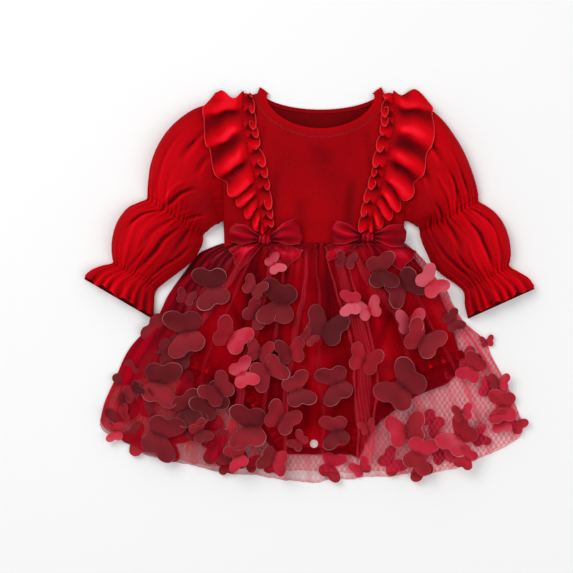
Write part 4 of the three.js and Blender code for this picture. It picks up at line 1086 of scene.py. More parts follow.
def skirt_front(landing):
    rows, columns = FRONT_NET_GRID
    flat = skirt_flat(rows, columns, front=True)
    down, across = shares(rows, columns)
    found = landing.tops(flat[::3, ::3], 1.1)
    carried = spread(blurred(found, 14), rows, columns, 3)
    over = smoothstep((spread(found, rows, columns, 3) - 1.2) / 1.5)
    edge = power(np.sin(math.pi * across), 0.5)
    loft = SKIRT_LOFT * edge * np.minimum(1, down * 4) * (1 - 0.2 * down)
    base = np.maximum(carried + 0.5, NET_TOP + loft)
    uneven = 1 + 0.4 * ripple(across * 30, 95)
    sway = 0.9 * ripple(down * 5 + across * 8, 96) * down
    phase = 2 * math.pi * NET_FOLDS * across + sway + 1.2 * ripple(across * 18, 97)
    wave = (0.5 - 0.5 * np.cos(phase)) ** 0.8
    depth = (2.0 + 2.3 * down**0.7) * uneven * edge
    fine = 0.35 * np.sin(2 * math.pi * 61 * across + 1.5 * ripple(across * 40, 98)) * (0.4 + 0.6 * down)
    gathers = 0.8 * np.sin(2 * math.pi * 88 * across + ripple(across * 60, 99)) * np.exp(-down * 22)
    strips = np.zeros(flat.shape[:2])
    for fold in DENSE_FOLDS:
        wavy = flat[..., 0] + 2.2 * ripple(flat[..., 1] * 0.045, 70 + int(fold["half"] * 10))
        near = line_bump(wavy, flat[..., 1], fold["line"], fold["half"])
        strips = np.maximum(strips, fold["strength"] * smoothstep((near - 0.25) / 0.3))
    z = base + depth * wave + (fine + gathers) * edge + 1.6 * strips
    slope = np.abs(np.gradient(z, axis=1)) / np.maximum(np.hypot(*np.gradient(flat, axis=1).T).T, 0.2)
    x, y = flat[..., 0], flat[..., 1]
    layered = line_bump(x, y, UPPER_LEFT["line"], UPPER_LEFT["half"])
    lower_left = smoothstep((-x - 60) / 120) * (1 - 0.55 * smoothstep((-y - 215) / 40))
    rims = np.exp(-across / 0.012) + np.exp(-(1 - across) / 0.012)
    density = 0.1 + 0.3 * np.clip(slope, 0, 1.0) + 0.85 * strips + 0.4 * np.exp(-down * 14)
    density = density + 1.0 * layered * (1 - 0.5 * strips) + 0.4 * lower_left * (1 - over) + 0.7 * rims
    density = density + 0.3 * smoothstep((down - 0.988) / 0.008) + 0.08 * ripple(across * 26, 90)
    density = density + 0.25 * strips * np.sin(2 * math.pi * 110 * across)
    density = density - 0.7 * bump(np.hypot(x - SNAP["x"], y - SNAP["y"]), 10)
    # Painted shade: darker in the gathers at the waist, in the pleats that fan out below them and among the
    # layers beside the hip, less over the doubled strips.
    pleats = 0.5 + 0.5 * np.sin(2 * math.pi * 31 * across + 1.6 * ripple(across * 25, 87))
    fan = power(pleats, 2) * np.exp(-power(down / (0.3 + 0.12 * ripple(across * 19, 86)), 2))
    dark = 0.9 * np.exp(-down * 9) * (0.3 + 0.7 * pleats) + 0.5 * fan
    dark = dark + 0.85 * layered * (0.75 + 0.25 * pleats)
    dark = np.clip(dark * (1 - 0.75 * strips), 0, 0.95)
    return net_piece("skirt_front_net", with_height(flat, z), front_net_cloth, density, dark, over)


# Shoulder ruffles
RUFFLE_COLUMNS = ["x", "y", "frill", "flounce"]
RUFFLES = {
    "left": table(
        RUFFLE_COLUMNS,
        [
            (-84, 180, 10, 33), (-85, 158, 12, 47), (-85, 141, 12, 48), (-81, 123, 13, 47),
            (-78, 105, 13, 46), (-72, 85, 13, 43), (-68, 63, 13, 31), (-66, 44, 12, 22),
            (-62, 25, 12, 13), (-59, 13, 8, 7),
        ],
    ),
    "right": table(
        RUFFLE_COLUMNS,
        [
            (95, 180, 10, 33), (96, 158, 12, 46), (96, 141, 12, 47), (92, 123, 13, 48),
            (89, 105, 13, 45), (85, 88, 13, 44), (80, 67, 12, 34), (74, 48, 12, 26),
            (68, 30, 12, 18), (64, 16, 8, 9),
        ],
    ),
}
RUFFLE = {"wall": 1.2, "rows": 300, "frill_columns": 22, "flounce_columns": 56}
FRILL = {"waves": 10.5, "lean": 7.2, "height": 6.5, "reach": 0.3}
FLOUNCE = {"lean": 5.0, "height": 9.0, "diagonal": 0.09, "full": 30.0}
# How many folds the flounce has made down to a share of its length: few and large above, small below.
FLOUNCE_FOLDS = {"share": [0.0, 0.35, 0.62, 1.0], "folds": [0.1, 1.8, 3.5, 7.6]}


def spread(coarse, rows, columns, step):
    """A coarse grid of heights brought back to the full one."""
    wide = np.stack([np.interp(np.arange(columns) / step, np.arange(coarse.shape[1]), r) for r in coarse])
    return np.stack([np.interp(np.arange(rows) / step, np.arange(coarse.shape[0]), c) for c in wide.T]).T


def ruffle(side, landing, seed):
    stations = RUFFLES[side]
    rows = RUFFLE["rows"]
    line = smooth_line([(row["x"], row["y"]) for row in stations], rows)
    row = np.linspace(0, 1, rows)[:, None]
    place = row * (len(stations) - 1)
    frill = np.interp(place, np.arange(len(stations)), column(stations, "frill"))
    flounce = np.interp(place, np.arange(len(stations)), column(stations, "flounce"))
    inner = np.linspace(1, 0, RUFFLE["frill_columns"])[None]
    outer = np.linspace(0, 1, RUFFLE["flounce_columns"])[None, 1:]
    along = np.gradient(line, axis=0)
    along /= np.linalg.norm(along, axis=1)[:, None]
    towards = -1 if side == "left" else 1
    outwards = left_of(line)
    outwards = outwards * np.where(outwards[:, :1] * towards > 0, 1, -1)

    turn = 2 * math.pi * FRILL["waves"] * row + 1.7 * ripple(row * 17, seed)
    uneven = 1 + 0.4 * ripple(row * 24, seed + 1)
    in_reach = -inner * frill * (1 + FRILL["reach"] * np.cos(turn + 0.6 * inner) * uneven)
    in_lean = FRILL["lean"] * inner**1.2 * np.sin(turn + 0.9 * inner) * uneven
    in_rise = FRILL["height"] * inner**0.8 * (0.5 + 0.5 * np.sin(turn))
    # painted light and shade on the frill's waves
    in_shade = 0.8 * np.sin(turn + 0.5) * inner**0.6

    folds = np.interp(row - FLOUNCE["diagonal"] * outer, FLOUNCE_FOLDS["share"], FLOUNCE_FOLDS["folds"])
    phase = 2 * math.pi * folds + 0.9 * ripple(row * 11, seed + 2)
    phase = phase + 0.5 * ripple(outer * 5 + row * 6, seed + 3)
    low = smoothstep((row - 0.58) / 0.1)
    size = np.minimum(1, flounce / FLOUNCE["full"]) ** 0.5 * outer**0.6
    calm = 1 - (0.75 - 0.45 * low) * smoothstep((outer - 0.45) / 0.55)
    out_reach = outer * flounce * (1 + (0.03 + 0.14 * low) * np.sin(phase + 0.8))
    out_lean = FLOUNCE["lean"] * size * calm * np.sin(phase) * (1 + 0.5 * low)
    out_rise = FLOUNCE["height"] * size * (0.4 + 0.6 * calm) * (0.5 + 0.5 * np.sin(phase))
    tucks = np.sin(2.4 * phase + 1.1 + 1.5 * outer) * np.exp(-outer * 3.2) * outer**0.4
    out_rise = out_rise + 1.1 * tucks
    # painted light and shade on the flounce's folds and tucks
    out_shade = (0.85 * np.sin(phase + 0.3) * (0.45 + 0.55 * calm) + 0.5 * tucks) * np.minimum(1, outer * 4)

    reach = np.concatenate([in_reach, out_reach], 1)
    lean = np.concatenate([in_lean, out_lean], 1)
    rise = np.concatenate([in_rise, out_rise], 1)
    shade = np.concatenate([in_shade, out_shade], 1)
    x = line[:, :1] + outwards[:, :1] * reach + along[:, :1] * lean
    y = line[:, 1:] + outwards[:, 1:] * reach + along[:, 1:] * lean
    at_top = np.exp(-row / 0.035)
    y = y + at_top * np.concatenate([4 * inner + 0 * row, 4 * np.cos(7.8 * (outer - 0.76)) + 0 * row], 1)
    flat = np.stack([x, y], 2)
    carried = blurred(landing.tops(flat[::3, ::3], 0.0), 10)
    carried = spread(carried, rows, flat.shape[1], 3)
    across = np.concatenate([-inner + 0 * row, outer + 0 * row], 1)
    seam = bump(across, 0.07)
    z = carried + 1.7 + rise - 0.4 * seam
    # Rim is a painted highlight along the outer edges of flounce and frill; the gathered seam is painted
    # darker, as shade between its gathers.
    rim = np.maximum(smoothstep((across - 0.975) / 0.02), smoothstep((-across - 0.93) / 0.05))
    shade = shade - (0.2 + 0.2 * np.sin(2 * math.pi * 31 * row + 2 * ripple(row * 40, seed + 6))) * seam
    return sheet_wall(f"ruffle_{side}_cloth", with_height(flat, z), RUFFLE["wall"], velvet, shade, rim * 0.9)


# Bows
BOW_KNOTS = {
    "left": {"x": -58.8, "y": 4.2, "half": 7.5, "across": 6.0, "height": 8.0, "tilt": -8.0},
    "right": {"x": 63.6, "y": 7.2, "half": 8.0, "across": 5.5, "height": 8.0, "tilt": -6.0},
}
BOW_PIECES = table(
    ["bow", "name", "angle", "length", "root", "middle", "tip", "height"],
    [
        ("left", "tail_left", 213, 36, 4, 11, 14, 1.5), ("left", "tail_right", -36, 35, 4, 12, 16, 1.5),
        ("left", "loop_left", 168, 36, 4, 11, 11, 8), ("left", "loop_right", 14, 36, 4, 12, 15, 8),
        ("right", "tail_left", 203, 44, 4, 8, 9, 1.5), ("right", "tail_right", -30, 50, 4, 13, 15, 1.5),
        ("right", "loop_left", 172, 34, 4, 11, 14, 8), ("right", "loop_right", 2, 38, 4, 12, 13, 8),
    ],
)


def bow_frame(knot, piece):
    angle = math.radians(piece["angle"])
    away = np.array([math.cos(angle), math.sin(angle)])
    across = np.array([-away[1], away[0]])
    root = np.array([knot["x"], knot["y"]]) + away * (knot["half"] + 1)
    return root, away, across


def half_width(piece, share):
    return np.interp(share, [0, 0.5, 1], [piece["root"], piece["middle"], piece["tip"]])


TAIL_ROWS, TAIL_COLUMNS = 60, 44


def bow_tail(bow, knot, piece, landing, seed):
    root, away, across = bow_frame(knot, piece)
    share = np.linspace(0, 1, TAIL_ROWS)[:, None]
    side = np.linspace(-1, 1, TAIL_COLUMNS)[None]
    slant = share * 2.5 * side + 1.2 * share * np.sin(side * 5)
    width = side * half_width(piece, share) * (1 + 0.05 * ripple(share * 6, seed))
    flat = root + away * (piece["length"] * share + slant)[..., None] + across * width[..., None]
    pleats = 1.2 * np.cos(side * (5.5 - 2 * share) + ripple(share * 3, seed + 1)) * (1 - share) ** 0.8
    roll = piece["height"] * (0.5 + 0.5 * np.sin(share * 5 + side * 1.6))
    roll = roll + 0.3 * ripple(side * 4 + share * 3, seed)
    carried = blurred(landing.tops(flat), 12)
    z = carried + 1.6 + roll + pleats * 0.6
    # Painted light and shade: pleats lighter and darker, soft uneven light, darker at the root by the knot, a
    # painted highlight towards the tip, and rim a painted highlight along the sides and the cut end.
    shade = 0.4 * pleats + 0.45 * ripple(side * 2.2 + share * 3, seed + 2) - 0.5 * bump(share, 0.25)
    rim = np.maximum(smoothstep((np.abs(side) - 0.96) / 0.03), smoothstep((share - 0.98) / 0.015)) * 0.3
    shade = shade * 0.7 + 0.62 * bump(share - 0.62 - 0.12 * side, 0.45) * bump(side - 0.15, 1.1)
    grid = with_height(flat, z)
    return sheet_wall(f"bow_{bow}_{piece['name']}_ribbon", grid, RIBBON, satin, shade, rim + 0 * shade)


def bow_loop(bow, knot, piece, landing, seed):
    """A loop of ribbon: out from the knot underneath, round the fold at its tip, and back on top."""
    root, away, across = bow_frame(knot, piece)
    turn = np.linspace(0, math.pi, 84)[:, None]
    side = np.linspace(-1, 1, 48)[None]
    share = np.sin(turn) ** 0.8
    rise = -np.cos(turn)
    bowed = 1 - 0.13 * side**2 * share + 0.03 * share * ripple(side * 3, seed)
    wide = half_width(piece, share) * (1 + 0.1 * np.sin(math.pi * share))
    swell = 0.55 + 0.45 * np.sin(math.pi * np.minimum(1, share * 0.8 + 0.1))
    round_off = 1 - 0.35 * side**2
    radiating = np.cos(side * 6.5 + 0.8 * ripple(share * 2, seed + 1)) * (1 - share) ** 0.7
    soft = 0.5 * ripple(side * 2.4 + share * 3, seed + 2)
    top = smoothstep(rise * 0.5 + 0.5)
    z = piece["height"] * 0.5 * swell * rise * round_off + (0.9 * radiating + 0.5 * soft) * top
    flat = root + away * (piece["length"] * share * bowed)[..., None] + across * (side * wide)[..., None]
    outer = with_height(flat, z)
    normal = grid_normals(outer)
    inner = outer + normal * RIBBON * 0.7 * np.sign((normal[-6:, :, 2] * -1).mean())
    under = outer[: len(turn) // 2]
    need = landing.tops(under[::4, ::4, :2]) - under[::4, ::4, 2]
    lift = need.max() + 0.3
    outer[..., 2] += lift
    inner[..., 2] += lift
    # Painted light and shade: pleats radiating from the knot lighter and darker, soft uneven light, the under
    # half and the root by the knot darker, and rim a painted highlight along the sides.
    shade = 0.6 * radiating * top + 0.6 * soft - 0.5 * (1 - top) - 0.7 * bump(share, 0.3)
    rim = smoothstep((np.abs(side) - 0.95) / 0.04) * 0.25 + 0 * shade
    return wall_piece(f"bow_{bow}_{piece['name']}_ribbon", outer, inner, satin, shade, rim=rim)


def bow_knot(bow, knot, landing, seed):
    stations, sides = 41, 60
    tilt = math.radians(knot["tilt"])
    away = np.array([math.cos(tilt), math.sin(tilt)])
    across = np.array([-away[1], away[0]])
    centre = np.array([knot["x"], knot["y"]])
    share = np.linspace(-1, 1, stations)[:, None]
    turn = np.linspace(0, 2 * math.pi, sides, endpoint=False)[None]
    girth = 0.66 + 0.34 * np.cos(share * math.pi / 2)
    girth = girth * (1 + 0.05 * np.cos(share * 9 + 0.9 * np.sin(turn) + seed))
    flat = centre + away * (share * knot["half"] + 0 * turn)[..., None]
    flat = flat + across * (np.cos(turn) * knot["across"] * girth)[..., None]
    z = knot["height"] / 2 * np.sin(turn) * girth
    below = landing.tops(flat[::4, sides // 2 :: 4]) - z[::4, sides // 2 :: 4]
    sections = with_height(flat, z + below.max() + 0.3)
    # painted light and shade on the knot's wrinkles
    shade = 0.5 * np.cos(share * 9 + 0.9 * np.sin(turn) + seed) + 0.1
    return ring_sweep(f"bow_{bow}_knot_ribbon", sections, satin, shade, closed=False)


def bow(side, landing, seed):
    knot = BOW_KNOTS[side]
    made = []
    for piece in BOW_PIECES:
        if piece["bow"] == side:
            seed += 1
            shape = bow_tail if "tail" in piece["name"] else bow_loop
            made.append(shape(side, knot, piece, landing, seed))
            landing = Landing(landing_pieces + made)
    made.append(bow_knot(side, knot, landing, seed))
    return made


# Butterflies
BUTTERFLY_COLUMNS = ["x", "y", "facing", "span", "left_rise", "right_rise", "tint"]
BUTTERFLIES = table(
    BUTTERFLY_COLUMNS,
    [
        (-120, -53, 190, 52, 0.15, 0.1, 0.15), (-152, -107, 190, 58, 0.2, 0.15, 0.3),
        (-100, -113, 60, 48, 0.7, 0.25, 0.72), (-69, -87, 45, 38, 0.4, 0.3, 0.35),
        (-41, -72, 170, 56, 0.2, 0.2, 0.12), (-65, -131, 80, 34, 0.3, 0.5, 0.45),
        (-56, -152, 300, 46, 0.25, 0.2, 0.42), (-86, -156, 25, 38, 0.4, 0.4, 0.88),
        (-28, -131, 100, 38, 0.4, 0.5, 0.4), (-186, -168, 350, 56, 0.15, 0.15, 0.3),
        (-152, -200, 20, 46, 0.15, 0.2, 0.1), (-76, -220, 180, 56, 0.25, 0.3, 0.3),
        (-40, -211, 60, 44, 0.5, 0.4, 0.45), (-184, -231, 340, 56, 0.2, 0.15, 0.28),
        (-122, -192, 130, 46, 0.15, 0.2, 0.1), (106, -50, 300, 50, 0.2, 0.2, 0.15),
        (66, -80, 110, 33, 0.4, 0.7, 0.95), (115, -96, 95, 38, 0.7, 0.5, 0.88),
        (129, -117, 60, 50, 0.4, 0.3, 0.45), (60, -141, 70, 42, 0.4, 0.8, 0.6),
        (27, -168, 200, 48, 0.3, 0.3, 0.3), (107, -173, 140, 62, 0.3, 0.25, 0.32),
        (13, -102, 70, 52, 0.2, 0.2, 0.05), (27, -225, 190, 42, 0.3, 0.3, 0.3),
        (110, -226, 100, 50, 0.3, 0.25, 0.62), (124, -252, 340, 46, 0.2, 0.2, 0.62),
        (174, -233, 140, 50, 0.4, 0.5, 0.72), (191, -151, 150, 38, 0.3, 0.3, 0.66),
    ],
)
SMALL_COLUMNS = ["x", "y", "facing", "span", "tint"]
SMALL_FRONT = table(
    SMALL_COLUMNS,
    [
        (-48, -26, 30, 26, 0.95), (-72, -54, 60, 30, 0.4), (-154, -66, 70, 24, 0.35),
        (-217, -176, 300, 26, 0.2), (-114, -177, 130, 42, 0.3), (-137, -226, 30, 30, 0.35),
        (-91, -255, 200, 32, 0.6), (-48, -258, 250, 38, 0.5), (-21, -176, 20, 44, 0.35),
        (-18, -238, 140, 25, 0.5), (-238, -226, 180, 26, 0.75), (79, -34, 10, 45, 0.15),
        (138, -48, 40, 40, 0.97), (45, -72, 180, 32, 0.92), (38, -22, 80, 25, 0.3),
        (-7, -113, 45, 22, 0.4), (64, -221, 110, 22, 0.55), (176, -203, 100, 26, 0.62),
        (221, -215, 20, 30, 0.7), (228, -196, 180, 42, 0.7), (183, -258, 150, 30, 0.68),
        (166, -94, 30, 28, 0.3), (208, -119, 100, 18, 0.6),
    ],
)
SMALL_BACK = table(
    SMALL_COLUMNS,
    [
        (-172, -238, 330, 42, 0.5), (-108, -267, 20, 26, 0.6), (-44, -265, 160, 30, 0.65),
        (128, -265, 200, 38, 0.7), (20, -267, 340, 36, 0.65), (57, -271, 120, 26, 0.65),
        (241, -218, 60, 28, 0.7), (-188, -112, 40, 46, 0.3), (-166, -136, 80, 44, 0.2),
        (-212, -196, 100, 44, 0.3), (-146, -178, 60, 44, 0.3), (-128, -222, 150, 46, 0.3),
        (-214, -238, 30, 40, 0.45), (-80, -264, 70, 30, 0.5), (-234, -208, 110, 30, 0.4),
        (92, -264, 40, 36, 0.6), (156, -254, 100, 34, 0.65), (198, -232, 20, 28, 0.68),
        (212, -178, 60, 32, 0.68), (184, -136, 300, 30, 0.6), (-120, -246, 10, 44, 0.4),
        (-222, -160, 140, 34, 0.35), (142, -214, 230, 34, 0.62), (222, -168, 90, 26, 0.6),
    ],
)
WING_OUTLINE = [
    (0.5, 0.14), (0.8, 0.4), (0.92, 0.72), (0.72, 0.97), (0.34, 0.97), (0.05, 0.78),
    (-0.26, 0.85), (-0.56, 0.72), (-0.68, 0.42), (-0.52, 0.13),
]
BODY = {"head": 0.3, "tail": -0.36}
WING_RINGS = [0.02, 0.25, 0.5, 0.7, 0.85, 0.972, 0.984, 1.0]


def wing_outline():
    """A closed outline of both wings in shares of half the span: along the body, then sideways."""
    half = [(BODY["head"], 0.0), *WING_OUTLINE, (BODY["tail"], 0.0)]
    line = smooth_line(half, 40)
    other = line[::-1][1:-1] * [1, -1]
    return np.concatenate([line, other])


def butterfly(row, landing, seed, pale):
    outline = wing_outline()
    turns = np.random.default_rng(seed)
    half = row["span"] / 2
    facing = math.radians(row["facing"])
    forwards = np.array([math.cos(facing), math.sin(facing)])
    sideways = np.array([-forwards[1], forwards[0]])
    rings = np.array(WING_RINGS)[:, None, None]
    local = outline[None] * rings
    along, out = local[..., 0], local[..., 1]
    rises = (row.get("left_rise", turns.uniform(0.1, 0.4)), row.get("right_rise", turns.uniform(0.1, 0.4)))
    rise = np.where(out > 0, rises[0], rises[1])
    lift = np.abs(out) * rise * (1 + 0.5 * np.abs(out))
    curl = 0.06 * np.sin(out * turns.uniform(3, 6) + along * turns.uniform(3, 7) + turns.uniform(0, 6))
    body_dip = 0.05 * np.exp(-((out / 0.08) ** 2))
    z = half * (lift + curl * np.abs(out) - body_dip)
    narrowed = np.cos(np.arctan(rise) * 0.6)
    flat = np.array([row["x"], row["y"]]) + forwards * (along * half)[..., None]
    flat = flat + sideways * (out * narrowed * half)[..., None]
    need = landing.tops(flat[::3, ::4], 1.1) - z[::3, ::4]
    base = need.max() + 0.25
    share = np.broadcast_to(rings[..., 0], z.shape)
    # The pale cut edge in its own colour, with a painted highlight that comes and goes around the wing.
    painted_rim_light = 0.35 + 0.65 * np.clip(np.sin(np.arctan2(out, along) * 2 + turns.uniform(0, 6)), 0, 1)
    edge = smoothstep((share - 0.972) / 0.02) * pale * painted_rim_light
    # Painted light: one wing lighter and the other darker. The middle line is made darker.
    painted_wing_light = turns.uniform(-0.16, 0.16)
    shade = row["tint"] + painted_wing_light * np.sign(out) + 0.07 * np.sin(out * 4 + seed)
    shade = shade - 0.3 * np.exp(-((out / 0.06) ** 2))
    return with_height(flat, z + base), edge, shade


def swarm(name, rows, landing_parts, seed, pale):
    """Many butterflies in one mesh. Each one settles on the cloth and on those made before it."""
    landing = Landing(landing_parts)
    turns = np.random.default_rng(seed)
    points, faces, edges, shades = [], [], [], []
    start = 0
    for k, row in enumerate(rows):
        grid, edge, shade = butterfly(row, landing, seed + k, pale * turns.uniform(0.4, 1.0))
        rings, count = grid.shape[:2]
        own = quads(rings, count, rounds=True)
        flat_points = grid.reshape(-1, 3)
        landing.trees.append(BVHTree.FromPolygons([Vector(p) for p in flat_points], own.tolist()))
        points.append(flat_points)
        faces.append(own + start)
        edges.append(edge.ravel())
        shades.append(shade.ravel())
        start += rings * count
    return make_piece(
        name,
        np.concatenate(points),
        np.concatenate(faces)[:, ::-1],
        wing_cloth,
        {"edge": np.concatenate(edges), "tint": np.concatenate(shades)},
    )


# Stitches
def stitch_tree():
    """Geometry Nodes: short threads at even steps along the edges that come in."""
    tree = bpy.data.node_groups.new("stitches", "GeometryNodeTree")
    face = tree.interface
    face.new_socket("Geometry", in_out="INPUT", socket_type="NodeSocketGeometry")
    for name, value in (("Spacing", 0.003), ("Length", 0.002), ("Radius", 0.0003)):
        socket = face.new_socket(name, in_out="INPUT", socket_type="NodeSocketFloat")
        socket.default_value = value
    face.new_socket("Thread", in_out="INPUT", socket_type="NodeSocketMaterial")
    face.new_socket("Geometry", in_out="OUTPUT", socket_type="NodeSocketGeometry")
    new = tree.nodes.new
    entry, leave = new("NodeGroupInput"), new("NodeGroupOutput")
    curve, points = new("GeometryNodeMeshToCurve"), new("GeometryNodeCurveToPoints")
    points.mode = "LENGTH"
    ball, place = new("GeometryNodeMeshUVSphere"), new("GeometryNodeInstanceOnPoints")
    ball.inputs["Segments"].default_value = 6
    ball.inputs["Rings"].default_value = 5
    ball.inputs["Radius"].default_value = 1.0
    scale = new("ShaderNodeCombineXYZ")
    real, paint = new("GeometryNodeRealizeInstances"), new("GeometryNodeSetMaterial")
    halved = new("ShaderNodeMath")
    halved.operation = "MULTIPLY"
    halved.inputs[1].default_value = 0.5
    for giver, output, taker, place_in in (
        (entry, "Geometry", curve, 0), (curve, 0, points, "Curve"), (entry, "Spacing", points, "Length"),
        (entry, "Length", halved, 0), (entry, "Radius", scale, 0), (entry, "Radius", scale, 1),
        (halved, 0, scale, 2), (points, "Points", place, "Points"), (ball, "Mesh", place, "Instance"),
        (points, "Rotation", place, "Rotation"), (scale, 0, place, "Scale"), (place, 0, real, 0),
        (real, 0, paint, "Geometry"), (entry, "Thread", paint, "Material"), (paint, 0, leave, 0),
    ):
        tree.links.new(giver.outputs[output], taker.inputs[place_in])
    return tree


def stitched(name, lines, spacing=2.6, length=1.9, radius=0.28):
    """Rows of stitches along lines of points, as one plain mesh."""
    points, edges, start = [], [], 0
    for line in lines:
        points.append(line)
        numbers = np.arange(len(line) - 1) + start
        edges += list(zip(numbers.tolist(), (numbers + 1).tolist()))
        start += len(line)
    mesh = bpy.data.meshes.new(name + "_path")
    mesh.from_pydata(((np.concatenate(points) + ORIGIN) * MM).tolist(), edges, [])
    made = bpy.data.objects.new(name, mesh)
    bpy.context.scene.collection.objects.link(made)
    modifier = made.modifiers.new("stitches", "NODES")
    modifier.node_group = stitches
    values = {"Spacing": spacing * MM, "Length": length * MM, "Radius": radius * MM, "Thread": thread}
    for item in stitches.interface.items_tree:
        if item.in_out == "INPUT" and item.name in values:
            modifier[item.identifier] = values[item.name]
    bpy.context.view_layer.update()
    graph = bpy.context.evaluated_depsgraph_get()
    final = bpy.data.meshes.new_from_object(made.evaluated_get(graph))
    made.modifiers.clear()
    made.data = final
    return made


def laid(line, landing, over):
    """A line in the plane, put on top of what lies under it."""
    return np.array([[p[0], p[1], landing.top(p[0], p[1]) + over] for p in line])


# The dress, from the floor up
stitches = stitch_tree()
back_bodice, front_bodice = bodice()
binding = neck_binding()
left_sleeve, right_sleeve = sleeve("left", seed=11), sleeve("right", seed=12)
back_net = skirt_back()
romper_front, romper_back, (left_band, right_band) = romper()
romper_landing = Landing([romper_front])
stud = snap(romper_landing.top(SNAP["x"], SNAP["y"]) + SEAM)
front_net = skirt_front(Landing([romper_front, romper_back, left_band, right_band, stud]))
ruffle_bed = [back_bodice, front_bodice, binding, left_sleeve, right_sleeve, front_net]
left_ruffle = ruffle("left", Landing(ruffle_bed), seed=31)
right_ruffle = ruffle("right", Landing(ruffle_bed), seed=32)
landing_pieces = [front_bodice, binding, front_net, left_ruffle, right_ruffle]
left_bow = bow("left", Landing(landing_pieces), seed=41)
right_bow = bow("right", Landing(landing_pieces), seed=51)
back_wings = swarm("butterflies_back", SMALL_BACK, [back_net], seed=301, pale=0.05)
front_wings = swarm("butterflies_front", BUTTERFLIES, [front_net], seed=101, pale=0.75)
above_net = [front_net, front_wings, *left_bow, *right_bow]
small_wings = swarm("butterflies_small", SMALL_FRONT, above_net, seed=201, pale=0.8)

STITCH_ROWS = (1.0, 3.0)  # how far outside the neck's edge each row of stitches lies
neck_top = neck_line(NECK["front"], count=181)
neck_in = left_of(neck_top)
bodice_landing = Landing([front_bodice])
neck_thread = stitched(
    "neck_stitches",
    [laid(neck_top - neck_in * gap, bodice_landing, over=0.12)[4:-4] for gap in STITCH_ROWS],
)

BOW_NAMES = ("tail_left", "tail_right", "loop_left", "loop_right", "knot")
velvet_nodes = {
    "bodice_back": back_bodice, "bodice_front": front_bodice, "neck_binding": binding,
    "sleeve_left": left_sleeve, "sleeve_right": right_sleeve, "romper_front": romper_front,
    "romper_back": romper_back, "leg_band_left": left_band, "leg_band_right": right_band,
    "ruffle_left": left_ruffle, "ruffle_right": right_ruffle,
}
net_nodes = {"skirt_back": back_net, "skirt_front": front_net}
satin_nodes = {
    f"bow_{side}_{name}": made
    for side, pieces in (("left", left_bow), ("right", right_bow))
    for name, made in zip(BOW_NAMES, pieces)
}
slots = {"velvet": velvet_nodes, "net": net_nodes, "satin": satin_nodes, "snap": {"snap": stud}}
for slot, nodes in slots.items():
    for node, made in nodes.items():
        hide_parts(node)
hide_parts(*[f"butterfly_{k:02d}" for k in range(1, len(BUTTERFLIES) + 1)])


# Each sheet's cut: width and length in millimetres, and its area in square centimetres unless a rectangle.
def cloth(piece, size, held, rests_on, area=None, with_pieces=()):
    size[0] * MM
    size[1] * MM
    None if area is None else area / 10000


cloth(back_bodice, (230, 182), "laid", ["floor"], 378)
cloth(front_bodice, (230, 182), "laid", [back_bodice], 350)
cloth(binding, (340, 11), "stretched", [front_bodice], 37)
cloth(left_sleeve, (262, 270), "gathered", ["floor"], 640)
cloth(right_sleeve, (256, 270), "gathered", ["floor"], 620)
cloth(romper_back, (325, 257), "laid", [back_net], 630)
cloth(romper_front, (335, 250), "laid", [romper_back], 600)
cloth(left_band, (460, 10.5), "gathered", [romper_back])
cloth(right_band, (490, 10.5), "gathered", [romper_back])
cloth(back_net, (560, 290), "gathered", ["floor"], 1480, [back_wings])
cloth(front_net, (580, 290), "gathered", [romper_front, back_net], 1560, [front_wings, small_wings])
cloth(left_ruffle, (420, 36), "gathered", [front_bodice, left_sleeve])
cloth(right_ruffle, (430, 37), "gathered", [front_bodice, right_sleeve])
RIBBON_CUTS = {
    "tail_left": (46, 22), "tail_right": (52, 22), "loop_left": (62, 25), "loop_right": (66, 26),
    "knot": (22, 12),
}
for node, made in satin_nodes.items():
    name = node.split("_", 2)[2]
    held = "laid" if "tail" in name else "folded"
    cloth(made, RIBBON_CUTS[name], held, [front_bodice, front_net])

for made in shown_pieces():
    if made.parent is None:
        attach(made, "root")


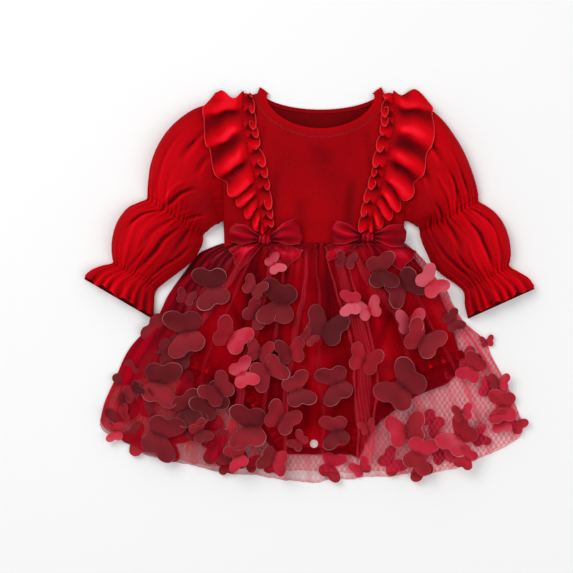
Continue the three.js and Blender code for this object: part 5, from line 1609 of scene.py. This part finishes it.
# Floor, light and camera
FLOOR_REACH, FLOOR_HEIGHT = 6.0, -0.0002
FLOOR_COLOUR = colour(0.92, 0.92, 0.92)
SKY_STRENGTH = 0.62
# Lamps: name, place and width in metres, and power in watts
LAMPS = (
    ("key", (-1.1, 1.0, 1.9), 1.4, 24.0),
    ("fill", (1.4, -0.6, 2.0), 1.8, 12.0),
)


def studio():
    mesh = bpy.data.meshes.new("floor")
    corners = [(x * FLOOR_REACH, y * FLOOR_REACH, 0) for x, y in ((-1, -1), (1, -1), (1, 1), (-1, 1))]
    mesh.from_pydata(corners, [], [(0, 1, 2, 3)])
    floor = bpy.data.objects.new("floor", mesh)
    floor.location.z = FLOOR_HEIGHT
    bpy.context.scene.collection.objects.link(floor)
    card = Finish("floor", Roughness=0.9)
    card.shader.inputs["Base Color"].default_value = FLOOR_COLOUR
    mesh.materials.append(card.material)
    world = bpy.data.worlds.new("studio")
    bpy.context.scene.world = world
    world.use_nodes = True
    sky = world.node_tree.nodes["Background"]
    sky.inputs[0].default_value = colour(1, 1, 1)
    sky.inputs[1].default_value = SKY_STRENGTH
    for name, place, size, power_w in LAMPS:
        data = bpy.data.lights.new(name, "AREA")
        data.size = size
        data.energy = power_w
        lamp = bpy.data.objects.new(name, data)
        lamp.location = place
        lamp.rotation_euler = (Vector((0, 0, 0)) - Vector(place)).to_track_quat("-Z", "Y").to_euler()
        bpy.context.scene.collection.objects.link(lamp)


# The place in the dress's frame that the camera looks down on, and its lens sizes in metres.
CAMERA = {"x": -33.0, "y": -52.2, "height": 2.4, "covers": 0.6876, "sensor": 36.0, "look_height": 0.008}


def camera():
    data = bpy.data.cameras.new("camera")
    data.sensor_width = CAMERA["sensor"]
    data.lens = CAMERA["sensor"] * (CAMERA["height"] - CAMERA["look_height"]) / CAMERA["covers"]
    made = bpy.data.objects.new("camera", data)
    across, along, _ = (ORIGIN + np.array([CAMERA["x"], CAMERA["y"], 0.0])) * MM
    made.location = (across, along, CAMERA["height"])
    bpy.context.scene.collection.objects.link(made)
    bpy.context.scene.camera = made


studio()
camera()
bpy.context.scene.view_settings.view_transform = "Standard"
